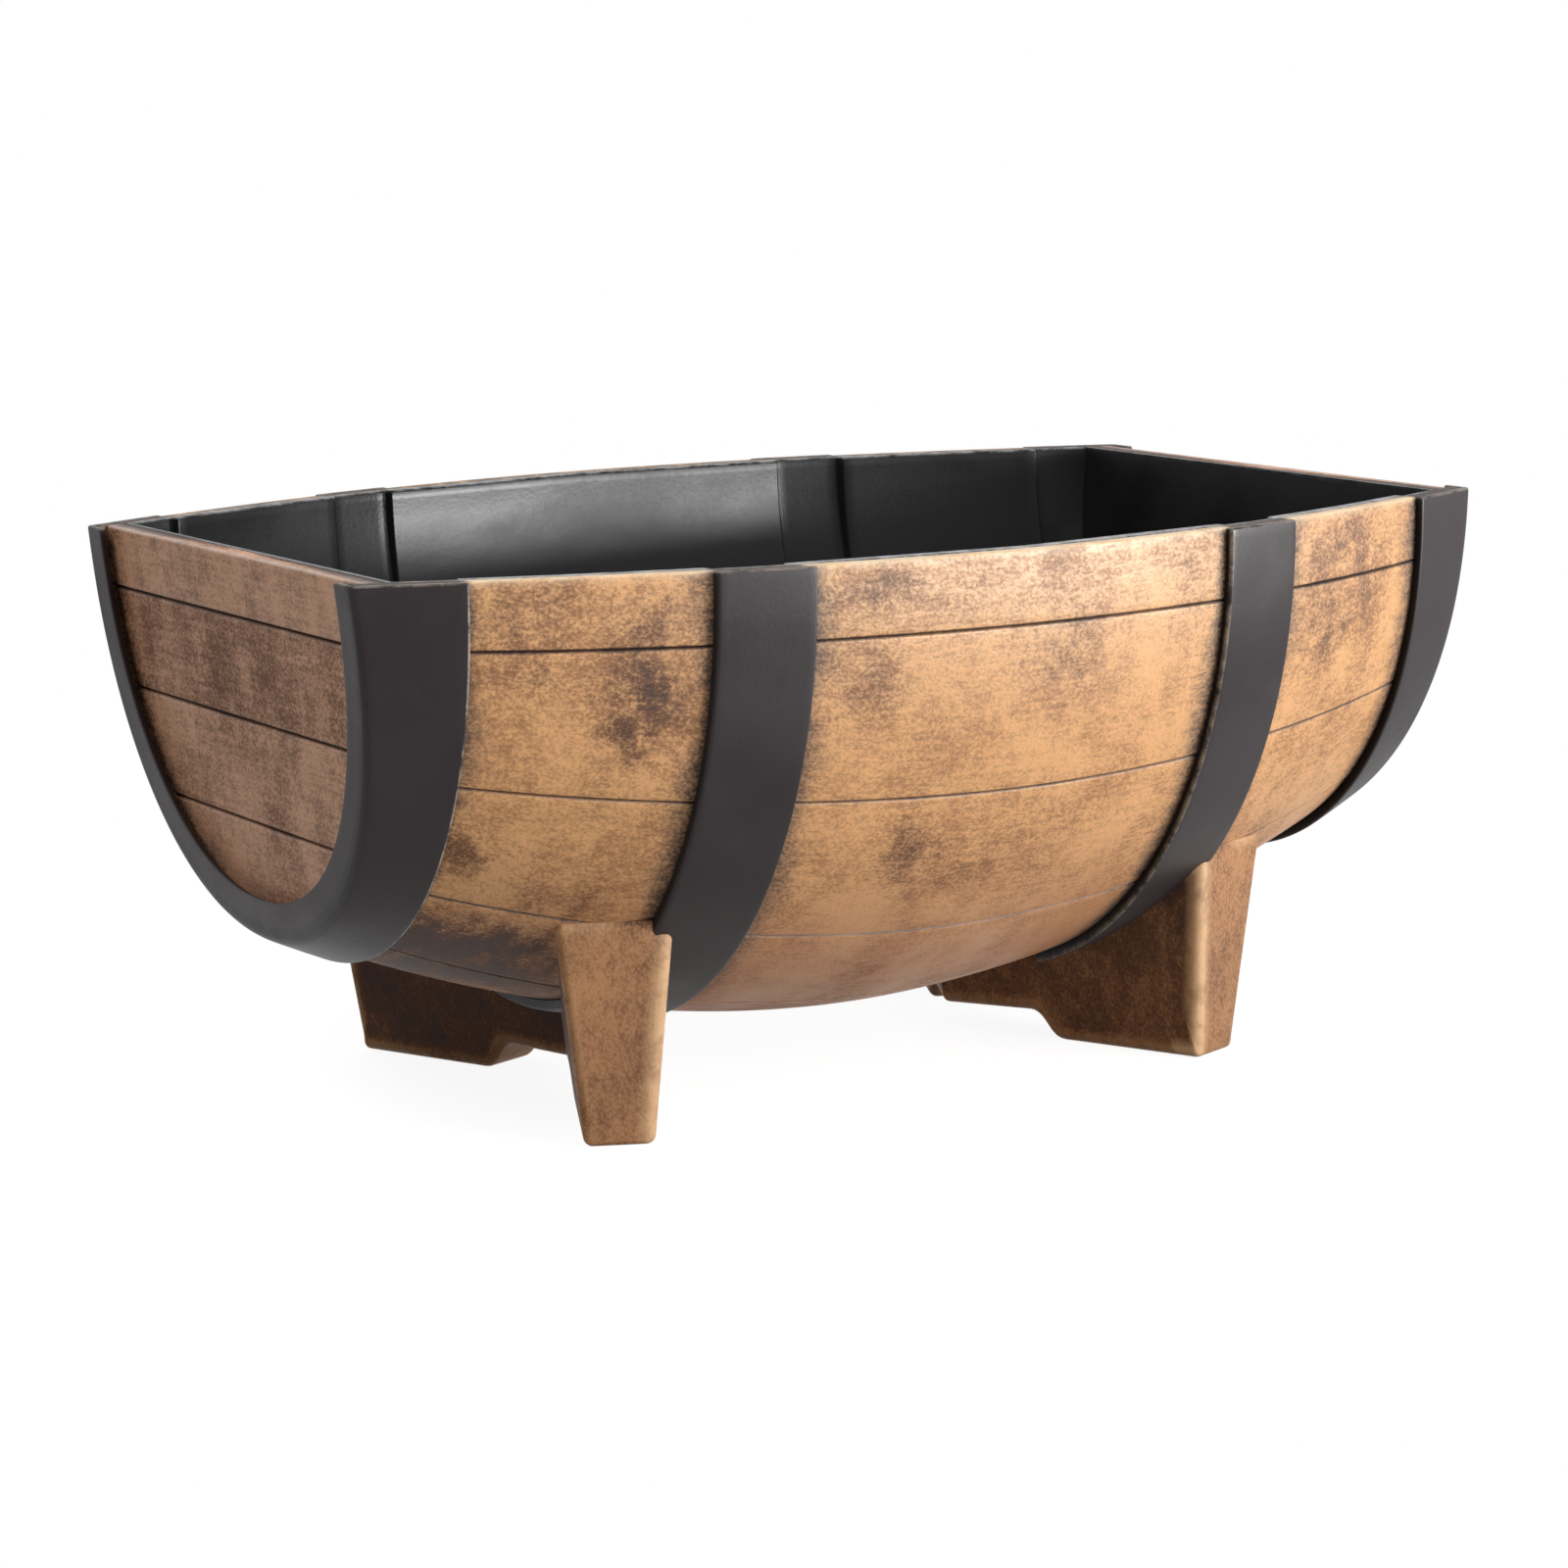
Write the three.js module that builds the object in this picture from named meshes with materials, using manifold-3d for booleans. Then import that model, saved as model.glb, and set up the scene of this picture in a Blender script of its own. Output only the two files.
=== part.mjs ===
// Half-barrel planter: a cask cut in half along its length, lying on four splayed legs.
// Millimetres, +Z up. The origin is on the floor under the middle of the planter, X runs along its length,
// and -Y is the front.
//
// Ten bent staves make the hull. Two heads of four flat boards close its ends, four half hoops bind it,
// a moulded liner holds the soil, and the legs are screwed on from inside.
import * as THREE from "three";
import { mergeVertices } from "three/addons/utils/BufferGeometryUtils.js";
import Module from "manifold-3d";

const wasm = await Module();
wasm.setup();

// ---------------------------------------------------------------- driving dimensions

// Hull, measured on the outer face of the staves. Every cross-section is half of a superellipse.
const length = 660; // over the end hoops, at the rim
const midHalfWidth = 261;
const endHalfWidth = 169;
const midDepth = 270.5; // rim to keel
const endDepth = 184.5;
const keelHeight = 28.5; // floor to keel
const bilge = 1.9; // power by which the hull narrows towards its ends
const midSquareness = 1.95; // superellipse power: 2 is a plain ellipse
const endSquareness = 2.2;
const endLean = 0.1; // how far each end leans in, per millimetre below the rim

// Staves, by the angle of their edges round the section: 0 is the front rim, 90 the keel.
const staveEdges = [0, 8.4, 27.9, 49.4, 69.7, 90].map(THREE.MathUtils.degToRad);
const staveThickness = 8;
const seamGap = 0.6;
const fitGap = 0.3; // clearance between pieces that touch
const facetAngle = THREE.MathUtils.degToRad(7.3); // widest facet round the section
const nearby = 1e-3; // step between the points that give the hull's slope: a share of its length, or radians
const endPasses = 6; // rounds of the sum that finds where the leaning end cuts the hull

// Hoops.
const hoopThickness = 6;
const midHoopNear = 120; // inner edge of a middle hoop, from mid length
const midHoopWidth = 48;
const endHoopWidth = 51; // at the rim
const endFlangeWidth = 20.5; // face of the end hoop that covers the stave ends
const endFlangeThickness = 4;

// Heads.
const headRecess = 8.5; // end face of the hoop to the face of the boards
const headThickness = 12;
const rabbetDepth = 3; // how deep the staves take the boards' edges
const headSeams = [32.6, 86.7, 141.6]; // below the rim
const dowelRadius = 3;
const dowelLength = 20;
const dowelSpacing = 140;

// Liner.
const linerWall = 3;
const linerStandOff = 6; // the bays between the hoops stand this far off the staves
const linerStep = 3; // length of the slope from a bay to a channel
const linerLip = 4; // height of the flange that closes the gap at the rim
const drainRadius = 6;
const drainX = 60;
const drainY = 24;

// Legs: each is a tapered plate on edge, turned by the splay, with a tail that runs in under the keel.
const legSplay = THREE.MathUtils.degToRad(23.7);
const legOffset = 108; // plate's middle plane to the planter's middle
const legFootWidth = 36;
const legDraft = 0.102; // how much each side widens, per millimetre of height
const legFootOuter = 204.5; // along the plate, from the foot of that perpendicular
const legFootInner = 117.5;
const legOuterRake = 0.105; // how much the outer face leans out, per millimetre of height
const legTailDepth = 13.5; // keel to the underside of the tail, at the foot
const legTailRise = -0.04; // slope of that underside, outwards
const legOgee = 22; // length of the curve from the foot to the tail
const legBlankTop = 150; // the hull cuts the plate off below this
const curveSides = 6; // straight pieces in the ogee

// Screws.
const screwRadius = 2.2;
const screwHeadRadius = 4.4;
const screwHeadHeight = 2.6;
const screwHeadRim = 0.6; // straight edge of the head, above its cone
const screwSink = 0.4; // head below the stave's inner face
const holeClearance = 0.3;
const roundSides = 8; // sides of each screw, dowel and hole
const legScrewPlaces = [190, 85]; // along the plate
const legScrewLengths = [34, 30];
const hoopScrewDrop = 15; // below the rim
const hoopScrewLength = 10;

// ---------------------------------------------------------------- finishes

const finishes = {
  stave: { color: 0xb98a52, roughness: 0.55, metalness: 0 },
  head: { color: 0x8c6a4f, roughness: 0.6, metalness: 0 },
  hoop: { color: 0x39353a, roughness: 0.5, metalness: 0.3 },
  liner: { color: 0x2a2b2c, roughness: 0.45, metalness: 0 },
  leg: { color: 0x8a5f38, roughness: 0.55, metalness: 0 },
  screw: { color: 0x8d9094, roughness: 0.35, metalness: 1 },
  dowel: { color: 0xc2a06c, roughness: 0.7, metalness: 0 },
};

const planter = new THREE.Group();

function addPiece(name, finish, geometry, side = { x: 1, y: 1 }) {
  const mesh = new THREE.Mesh(geometry, new THREE.MeshStandardMaterial(finishes[finish]));
  mesh.name = name;
  mesh.scale.set(side.x, side.y, 1);
  planter.add(mesh);
}

// ---------------------------------------------------------------- solids

// A geometry as a solid for joining and cutting.
function toSolid(geometry) {
  const bare = geometry.clone();
  bare.deleteAttribute("normal");
  bare.deleteAttribute("uv");
  const merged = mergeVertices(bare, 1e-4);
  return new wasm.Manifold(
    new wasm.Mesh({
      numProp: 3,
      vertProperties: new Float32Array(merged.attributes.position.array),
      triVerts: new Uint32Array(merged.index.array),
    }),
  );
}

function toGeometry(solid) {
  const { numProp, vertProperties, triVerts } = solid.getMesh();
  const positions = new Float32Array((vertProperties.length / numProp) * 3);
  for (let i = 0; i < positions.length / 3; i++) {
    positions.set(vertProperties.subarray(i * numProp, i * numProp + 3), i * 3);
  }
  return new THREE.BufferGeometry()
    .setAttribute("position", new THREE.BufferAttribute(positions, 3))
    .setIndex(new THREE.BufferAttribute(triVerts, 1))
    .toNonIndexed();
}

const cutAll = (solid, cutters) => cutters.reduce((left, cutter) => left.subtract(cutter), solid);

// A closed skin over rings of points, with its first and last ring filled in. flatten turns a ring's point
// into two coordinates for the filling. Each four-sided facet is split along its shorter diagonal, so that
// two skins at different depths keep their distance.
function loft(rings, flatten) {
  const across = rings[0].length;
  const corner = (i, j) => i * across + (j % across);
  const triangles = [];
  for (let i = 0; i < rings.length - 1; i++) {
    for (let j = 0; j < across; j++) {
      const [a, b, c, d] = [corner(i, j), corner(i, j + 1), corner(i + 1, j + 1), corner(i + 1, j)];
      const next = (j + 1) % across;
      const straight = rings[i][j].distanceTo(rings[i + 1][next]);
      const crossed = rings[i][next].distanceTo(rings[i + 1][j]);
      triangles.push(...(straight < crossed ? [a, b, c, a, c, d] : [a, b, d, b, c, d]));
    }
  }
  [0, rings.length - 1].forEach((ring) => {
    const outline = rings[ring].map(flatten);
    const outlineTurn = THREE.ShapeUtils.area(outline) > 0;
    for (const [a, b, c] of THREE.ShapeUtils.triangulateShape(outline, [])) {
      const sameTurn = THREE.ShapeUtils.area([outline[a], outline[b], outline[c]]) > 0 === outlineTurn;
      const [p, q] = sameTurn === (ring > 0) ? [b, c] : [c, b];
      triangles.push(corner(ring, a), corner(ring, p), corner(ring, q));
    }
  });
  const points = rings.flat();
  const turn = new THREE.Vector3();
  let volume = 0;
  for (let i = 0; i < triangles.length; i += 3) {
    const [p, q, r] = [points[triangles[i]], points[triangles[i + 1]], points[triangles[i + 2]]];
    volume += turn.crossVectors(q, r).dot(p);
  }
  return new THREE.BufferGeometry()
    .setFromPoints(points)
    .setIndex(volume > 0 ? triangles : triangles.reverse());
}

// A mirror image, by the sign of each axis.
const acrossLength = [-1, 1, 1];
const acrossWidth = [1, -1, 1];

function mirrored(geometry, signs) {
  const copy = geometry.clone().applyMatrix4(new THREE.Matrix4().makeScale(...signs));
  return copy.setIndex([...copy.index.array].reverse());
}

function inAllQuarters(geometries) {
  const front = geometries.flatMap((shape) => [shape, mirrored(shape, acrossLength)]);
  return front.flatMap((shape) => [shape, mirrored(shape, acrossWidth)]);
}

function boxBetween(low, high) {
  const size = new THREE.Vector3().subVectors(high, low);
  const middle = new THREE.Vector3().addVectors(low, high).multiplyScalar(0.5);
  return new THREE.BoxGeometry(size.x, size.y, size.z).translate(middle.x, middle.y, middle.z);
}

const point = (x, y, z) => new THREE.Vector3(x, y, z);

// ---------------------------------------------------------------- hull surface

const rimHeight = keelHeight + midDepth;
const halfLength = length / 2;
const midHoopFar = midHoopNear + midHoopWidth;
const endHoopNear = halfLength - endHoopWidth;
const behindHead = headRecess + headThickness + fitGap; // end face of the hoop to what lies behind the boards

// Half width, depth and power of the section at x, taken in from the staves' outer face by inset.
function sectionAt(x, inset) {
  const share = Math.abs(x / halfLength) ** bilge;
  return {
    halfWidth: THREE.MathUtils.lerp(midHalfWidth, endHalfWidth, share) - inset,
    depth: THREE.MathUtils.lerp(midDepth, endDepth, share) - inset,
    power: THREE.MathUtils.lerp(midSquareness, endSquareness, share),
  };
}

function hullPoint(x, angle, inset) {
  const { halfWidth, depth, power } = sectionAt(x, inset);
  const across = Math.cos(angle);
  const down = Math.max(Math.sin(angle), 0);
  return point(
    x,
    -Math.sign(across) * halfWidth * Math.abs(across) ** (2 / power),
    rimHeight - depth * down ** (2 / power),
  );
}

// The angle at which the hull is y off the middle, or drop below the rim.
const angleOffMiddle = (x, y) => {
  const { halfWidth, power } = sectionAt(x, 0);
  return Math.acos(Math.abs(y / halfWidth) ** (power / 2));
};
const angleBelowRim = (x, drop) => {
  const { depth, power } = sectionAt(x, 0);
  return Math.asin((drop / depth) ** (power / 2));
};

// Outward direction of the hull's surface on the front.
function hullNormal(x, angle) {
  const step = nearby * length;
  const along = hullPoint(x + step, angle, 0).sub(hullPoint(x - step, angle, 0));
  const round = hullPoint(x, angle + nearby, 0).sub(hullPoint(x, angle - nearby, 0));
  return round.cross(along).normalize();
}

// Where the leaning end plane, moved in by setback, cuts the hull.
function endX(angle, inset, setback) {
  let x = halfLength - setback;
  for (let pass = 0; pass < endPasses; pass++) {
    x = halfLength - setback - endLean * (rimHeight - hullPoint(x, angle, inset).z);
  }
  return x;
}

// Stations along the hull. A station is a plane across it, a place half way from the end hoop's inner edge to
// the leaning end, or that end itself.
const plane = (x) => () => x;
const bandMiddle = (setback) => (angle) => (endHoopNear + endX(angle, 0, setback)) / 2;
const hullEnd = (setback) => (angle, inset) => endX(angle, inset, setback);
const bayMiddle = midHoopNear / 2;
const midHoopPlanes = [midHoopNear, midHoopNear + midHoopWidth / 2, midHoopFar];
const outerBayMiddle = (midHoopFar + endHoopNear) / 2;

function hullStations(setback) {
  const planes = [bayMiddle, ...midHoopPlanes, outerBayMiddle, endHoopNear].map(plane);
  const right = [...planes, bandMiddle(setback), hullEnd(setback)];
  const left = right.map((station) => (angle, inset) => -station(angle, inset)).reverse();
  return [...left, plane(0), ...right];
}

// Angles of the facets round the section, the same for every piece that follows the hull.
function facetsBetween(low, high) {
  const count = Math.ceil((high - low) / facetAngle);
  return Array.from({ length: count + 1 }, (_, i) => THREE.MathUtils.lerp(low, high, i / count));
}

const quarter = staveEdges.slice(1).flatMap((edge, i) => facetsBetween(staveEdges[i], edge).slice(i ? 1 : 0));
const halfTurn = [...quarter, ...quarter.slice(0, -1).reverse().map((angle) => Math.PI - angle)];

const acrossHull = (p) => new THREE.Vector2(p.y, p.z);

// A band of the hull between two insets, over the stations, as an outer line of points and an inner one.
function hullBand(stations, angles, outerInset, innerInset) {
  const line = (station, inset) => angles.map((angle) => hullPoint(station(angle, inset), angle, inset));
  return loft(
    stations.map((station) => [...line(station, outerInset), ...line(station, innerInset).reverse()]),
    acrossHull,
  );
}

// The whole trough filled up to the rim, taken in by inset.
function hullBlock(stations, inset) {
  return loft(
    stations.map((station) => halfTurn.map((angle) => hullPoint(station(angle, inset), angle, inset))),
    acrossHull,
  );
}

// ---------------------------------------------------------------- screws

// A countersunk screw along -Z with the top of its head at the origin, grown by clearance for its hole.
function screwShape(reach, clearance) {
  const headTop = clearance ? staveThickness : 0; // a hole is open above the head
  const profile = [
    [0, headTop],
    [screwHeadRadius + clearance, headTop],
    [screwHeadRadius + clearance, -screwHeadRim - clearance],
    [screwRadius + clearance, -screwHeadHeight - clearance],
    [screwRadius + clearance, -reach - clearance],
    [0, -reach - clearance],
  ].map(([radius, height]) => new THREE.Vector2(radius, height));
  return new THREE.LatheGeometry(profile.reverse(), roundSides).rotateX(Math.PI / 2);
}

// Where each screw of the front right quarter goes: through the stave along the hull's normal.
function screwSeat(x, angle) {
  const normal = hullNormal(x, angle);
  const head = hullPoint(x, angle, staveThickness).addScaledVector(normal, screwSink);
  const turn = new THREE.Quaternion().setFromUnitVectors(point(0, 0, -1), normal);
  return new THREE.Matrix4().compose(head, turn, point(1, 1, 1));
}

const alongLeg = point(Math.sin(legSplay), -Math.cos(legSplay), 0);
const acrossLeg = point(Math.cos(legSplay), Math.sin(legSplay), 0);

const legScrews = legScrewPlaces.map((place, i) => {
  const middle = acrossLeg.clone().multiplyScalar(legOffset).addScaledVector(alongLeg, place);
  return { reach: legScrewLengths[i], seat: screwSeat(middle.x, angleOffMiddle(middle.x, middle.y)) };
});

const endHoopScrewX = (endHoopNear + halfLength - behindHead) / 2;
const hoopScrews = [midHoopNear + midHoopWidth / 2, endHoopScrewX].map((x) => {
  return { reach: hoopScrewLength, seat: screwSeat(x, angleBelowRim(x, hoopScrewDrop)) };
});

const drainHole = new THREE.CylinderGeometry(drainRadius, drainRadius, rimHeight, roundSides)
  .rotateX(Math.PI / 2)
  .translate(drainX, -drainY, 0);

const quarterHoles = [...legScrews, ...hoopScrews].map(({ reach, seat }) =>
  screwShape(reach, holeClearance).applyMatrix4(seat),
);
const screwHoles = inAllQuarters(quarterHoles).map(toSolid);
const drainHoles = inAllQuarters([drainHole]).map(toSolid);

// ---------------------------------------------------------------- heads

const headInset = staveThickness - rabbetDepth;
const headStations = [hullEnd(headRecess + headThickness), hullEnd(headRecess)];
const rabbetStations = [hullEnd(behindHead), hullEnd(-fitGap)];
const head = toSolid(hullBlock(headStations, headInset + fitGap));
const rightRabbet = hullBlock(rabbetStations, headInset);
const rabbets = [rightRabbet, mirrored(rightRabbet, acrossLength)].map(toSolid);

// Middle of the boards' thickness at a drop below the rim.
const headMiddle = (drop) => halfLength - headRecess - headThickness / 2 - endLean * drop;

const dowelPlaces = headSeams.flatMap((drop) =>
  [-1, 1].map((side) => point(headMiddle(drop), (side * dowelSpacing) / 2, rimHeight - drop)),
);

// An upright dowel, grown by clearance for its hole.
function dowelShape(place, clearance) {
  const radius = dowelRadius + clearance;
  return new THREE.CylinderGeometry(radius, radius, dowelLength + 2 * clearance, roundSides)
    .rotateX(Math.PI / 2)
    .translate(place.x, place.y, place.z);
}

const dowelHoles = dowelPlaces.map((place) => toSolid(dowelShape(place, holeClearance)));
const boardEdges = [0, ...headSeams, midDepth];
const boardNames = ["top", "upper", "lower", "bottom"];

boardNames.forEach((level, i) => {
  const top = rimHeight - boardEdges[i] - (i ? seamGap / 2 : 0);
  const bottom = rimHeight - boardEdges[i + 1] + seamGap / 2;
  const slab = toSolid(boxBetween(point(0, -length, bottom), point(length, length, top)));
  const board = toGeometry(cutAll(head.intersect(slab), dowelHoles));
  addPiece(`right_head_board_${level}`, "head", board);
  addPiece(`left_head_board_${level}`, "head", board, { x: -1, y: 1 });
});

dowelPlaces.forEach((place, i) => {
  const name = `${boardNames[Math.floor(i / 2)]}_${i % 2 ? "rear" : "front"}`;
  const dowel = dowelShape(place, 0);
  addPiece(`right_head_dowel_${name}`, "dowel", dowel);
  addPiece(`left_head_dowel_${name}`, "dowel", dowel, { x: -1, y: 1 });
});

// ---------------------------------------------------------------- staves

// A stave's facets, with its edges drawn in from the seams by half the seam's gap.
function staveAngles(first, last) {
  const trim = seamGap / (midHalfWidth + endHalfWidth);
  const angles = facetsBetween(first, last);
  if (first > 0) angles[0] += trim;
  angles[angles.length - 1] -= trim;
  return angles;
}

const staveNames = ["rim", "upper", "middle", "lower", "keel"];

staveNames.forEach((level, i) => {
  const stations = hullStations(endFlangeThickness + fitGap);
  const angles = staveAngles(staveEdges[i], staveEdges[i + 1]);
  const blank = toSolid(hullBand(stations, angles, 0, staveThickness));
  const stave = toGeometry(cutAll(blank, [...rabbets, ...screwHoles, ...drainHoles]));
  addPiece(`front_${level}_stave`, "stave", stave);
  addPiece(`rear_${level}_stave`, "stave", stave, { x: 1, y: -1 });
});

// ---------------------------------------------------------------- hoops

const midHoop = toSolid(hullBand(midHoopPlanes.map(plane), halfTurn, -hoopThickness, -fitGap));

const bandStations = [plane(endHoopNear), bandMiddle(0), hullEnd(0)];
const flangeStations = [hullEnd(endFlangeThickness), hullEnd(0)];
const flangeInset = endFlangeWidth - hoopThickness;
const endHoop = toSolid(hullBand(bandStations, halfTurn, -hoopThickness, -fitGap)).add(
  toSolid(hullBand(flangeStations, halfTurn, -hoopThickness / 2, flangeInset)),
);

[
  ["middle_hoop", midHoop],
  ["end_hoop", endHoop],
].forEach(([name, solid]) => {
  const hoop = toGeometry(cutAll(solid, screwHoles));
  addPiece(`right_${name}`, "hoop", hoop);
  addPiece(`left_${name}`, "hoop", hoop, { x: -1, y: 1 });
});

// ---------------------------------------------------------------- liner

// The liner lies against the staves behind the hoops, and stands off them in the bays between.
const channelInset = staveThickness + fitGap;
const bayInset = channelInset + linerStandOff;
// Planes across the liner, and whether each is in a bay.
const linerPlanes = [
  [bayMiddle, true],
  [midHoopNear - linerStep, true],
  [midHoopNear, false],
  [midHoopFar, false],
  [midHoopFar + linerStep, true],
  [outerBayMiddle, true],
  [endHoopNear - linerStep, true],
  [endHoopNear, false],
];

// The trough within the liner's outer face, or within its inner face when the wall is taken off. Outside, a
// lip at the rim closes the gap to the staves.
function linerBlock(wall) {
  const section = (x, station, bay) => {
    const lipAngle = angleBelowRim(x, linerLip);
    const belowLip = angleBelowRim(x, linerLip + linerStep);
    const atFront = [0, lipAngle, belowLip];
    const atRear = atFront.map((angle) => Math.PI - angle).reverse();
    return [...atFront, ...halfTurn.slice(1, -1), ...atRear].map((angle) => {
      const inLip = Math.min(angle, Math.PI - angle) <= lipAngle;
      const inset = wall + (bay && !(inLip && wall === 0) ? bayInset : channelInset);
      return hullPoint(station(angle, inset), angle, inset);
    });
  };
  const right = [
    ...linerPlanes.map(([x, bay]) => [x, plane(x), bay]),
    [endHoopScrewX, bandMiddle(behindHead + linerWall), false],
    [halfLength - behindHead, hullEnd(behindHead + wall), false],
  ];
  const left = right.map(([x, station, bay]) => [x, (angle, inset) => -station(angle, inset), bay]).reverse();
  const rings = [...left, [0, plane(0), true], ...right].map((ring) => section(...ring));
  return toSolid(loft(rings, acrossHull));
}

const liner = linerBlock(0).subtract(linerBlock(linerWall));
addPiece("liner", "liner", toGeometry(cutAll(liner, drainHoles)));

// ---------------------------------------------------------------- legs

// Side view of the plate, along it and up: the foot, the raked outer face, a blank top for the hull to cut,
// and the raised tail with its ogee.
function legProfile() {
  const tailHeight = keelHeight - legTailDepth;
  const ogeeEnd = legFootInner - legOgee;
  const ogeeMiddle = legFootInner - legOgee / 2;
  const tailAtKeel = tailHeight + legTailRise * ogeeEnd;
  const profile = new THREE.Shape();
  profile.moveTo(legFootInner, 0);
  profile.lineTo(legFootOuter, 0);
  profile.lineTo(legFootOuter + legOuterRake * legBlankTop, legBlankTop);
  profile.lineTo(0, legBlankTop);
  profile.lineTo(0, tailAtKeel);
  profile.lineTo(ogeeEnd, tailHeight);
  profile.bezierCurveTo(ogeeMiddle, tailHeight, ogeeMiddle, 0, legFootInner, 0);
  return profile;
}

// The plate is cut one unit thick, spread to its width with its draft, and turned to its place.
const blank = new THREE.ExtrudeGeometry(legProfile(), {
  depth: 1,
  bevelEnabled: false,
  curveSegments: curveSides,
});
const corners = blank.attributes.position;
for (let i = 0; i < corners.count; i++) {
  const [along, up, side] = [corners.getX(i), corners.getY(i), corners.getZ(i)];
  const spread = (side - 0.5) * (legFootWidth + 2 * legDraft * up);
  const place = acrossLeg.clone().multiplyScalar(legOffset - spread).addScaledVector(alongLeg, along);
  corners.setXYZ(i, place.x, place.y, up);
}

const hoopSaddle = [midHoopNear - fitGap, midHoopNear + midHoopWidth / 2, midHoopFar + fitGap];
const legCutters = [
  hullBlock(hullStations(0), -fitGap),
  hullBlock(hoopSaddle.map(plane), -hoopThickness - fitGap),
  boxBetween(point(-length, -fitGap / 2, -length), point(length, length, length)),
].map(toSolid);
const leg = toGeometry(cutAll(toSolid(blank), [...legCutters, ...screwHoles]));

const sides = [
  ["front_right", { x: 1, y: 1 }],
  ["front_left", { x: -1, y: 1 }],
  ["rear_right", { x: 1, y: -1 }],
  ["rear_left", { x: -1, y: -1 }],
];

for (const [corner, side] of sides) {
  addPiece(`${corner}_leg`, "leg", leg, side);
  legScrews.forEach(({ reach, seat }, i) => {
    const name = `${corner}_leg_screw_${i ? "inner" : "outer"}`;
    addPiece(name, "screw", screwShape(reach, 0).applyMatrix4(seat), side);
  });
  hoopScrews.forEach(({ reach, seat }, i) => {
    const name = `${corner}_${i ? "end" : "middle"}_hoop_screw`;
    addPiece(name, "screw", screwShape(reach, 0).applyMatrix4(seat), side);
  });
}

export default planter;
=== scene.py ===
# %% [markdown]
# # A half-barrel planter
# A cask cut in half along its length lies on four splayed legs. Ten bent staves make the hull, four flat
# boards close each end, four black half hoops bind it, and a black liner holds the soil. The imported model
# gives every piece its place, so the first step is to load it and keep its box.

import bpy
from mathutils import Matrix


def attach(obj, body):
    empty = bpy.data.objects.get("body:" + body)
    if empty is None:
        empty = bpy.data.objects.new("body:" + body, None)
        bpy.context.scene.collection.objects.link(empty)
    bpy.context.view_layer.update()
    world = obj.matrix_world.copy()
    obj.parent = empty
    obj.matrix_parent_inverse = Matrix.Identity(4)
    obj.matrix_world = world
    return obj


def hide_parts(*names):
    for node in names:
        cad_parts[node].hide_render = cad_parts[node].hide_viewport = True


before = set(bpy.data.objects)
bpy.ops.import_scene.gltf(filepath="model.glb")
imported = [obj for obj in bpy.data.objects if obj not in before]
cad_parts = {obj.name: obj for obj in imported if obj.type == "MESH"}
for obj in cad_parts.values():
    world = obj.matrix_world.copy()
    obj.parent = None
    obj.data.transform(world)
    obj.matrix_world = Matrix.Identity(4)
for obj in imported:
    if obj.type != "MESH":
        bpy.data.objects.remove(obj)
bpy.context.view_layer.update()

import math

import bmesh
import bpy
import numpy as np
from mathutils import Matrix, Vector

# %% [markdown]
# ## The hull's surface
# A cooper bends each stave over the same bilge, so one surface carries the whole hull. It could be drawn by
# hand as a subdivided box, but then staves, hoops and liner would drift apart. A formula keeps them together:
# every cross-section is half of a superellipse, whose width, depth and squareness change along the length.
# Any piece is then a shape in three numbers: place along the hull, angle round it, and depth below its face.

# %% One formula for the hull
HALF_LENGTH = 330.0
RIM_HEIGHT = 299.0
MIDDLE = {"half_width": 261.0, "depth": 270.5, "power": 1.95}
END = {"half_width": 169.0, "depth": 184.5, "power": 2.2}
BILGE = 1.9
END_LEAN = 0.1
END_PASSES = 8
FINE_ANGLES = np.linspace(0, math.pi, 1441)
# The black bands along the hull, each way from the middle.
MIDDLE_HOOP = (120.0, 168.0)
END_HOOP = 279.0


def section_at(x):
    """Half width, depth and power at x: the middle's, blended to the end's by |x / half length| ** bilge."""
    share = np.abs(x / HALF_LENGTH) ** BILGE
    return [MIDDLE[key] + (END[key] - MIDDLE[key]) * share for key in ("half_width", "depth", "power")]


def hull(x, angle, inset):
    """Points in mm. Across is half width times cosine, down is depth times sine, each raised to 2 / power,
    after both sizes are taken in by the inset. Angle 0 is the front rim, a quarter turn the keel."""
    x, angle, inset = np.broadcast_arrays(x, angle, inset)
    half_width, depth, power = section_at(x)
    across = np.sign(np.cos(angle)) * np.abs(np.cos(angle)) ** (2 / power)
    down = np.clip(np.sin(angle), 0, None) ** (2 / power)
    return np.stack([x, -(half_width - inset) * across, RIM_HEIGHT - (depth - inset) * down], axis=-1)


def end_x(angle, inset, setback=0.0):
    """Where the leaning end plane cuts the hull: half length, less the setback, less the lean times the drop
    below the rim. The drop depends on x, so the sum is repeated until it rests."""
    x = np.full(np.broadcast(angle, inset).shape, HALF_LENGTH)
    for _ in range(END_PASSES):
        x = HALF_LENGTH - setback - END_LEAN * (RIM_HEIGHT - hull(x, angle, inset)[..., 2])
    return x


def angle_below_rim(x, drop):
    """The angle at which the hull is the drop below the rim: arcsine of (drop / depth) ** (power / 2)."""
    _, depth, power = section_at(x)
    return np.arcsin(np.clip(drop / depth, 0, 1) ** (power / 2))


def running_length(x):
    """Length round the section from the front rim to each fine angle, a sum of short chords: a row for each x."""
    chords = np.linalg.norm(np.diff(hull(x[:, None], FINE_ANGLES, 0), axis=1), axis=-1)
    return np.concatenate([np.zeros((len(x), 1)), np.cumsum(chords, axis=1)], axis=1)


def angle_along_arc(x, arc):
    """The angle that lies arc mm round the section from the front rim, read off the running length. arc has one
    row for each x."""
    return np.stack([np.interp(row, length, FINE_ANGLES) for row, length in zip(arc, running_length(x))])


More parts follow.
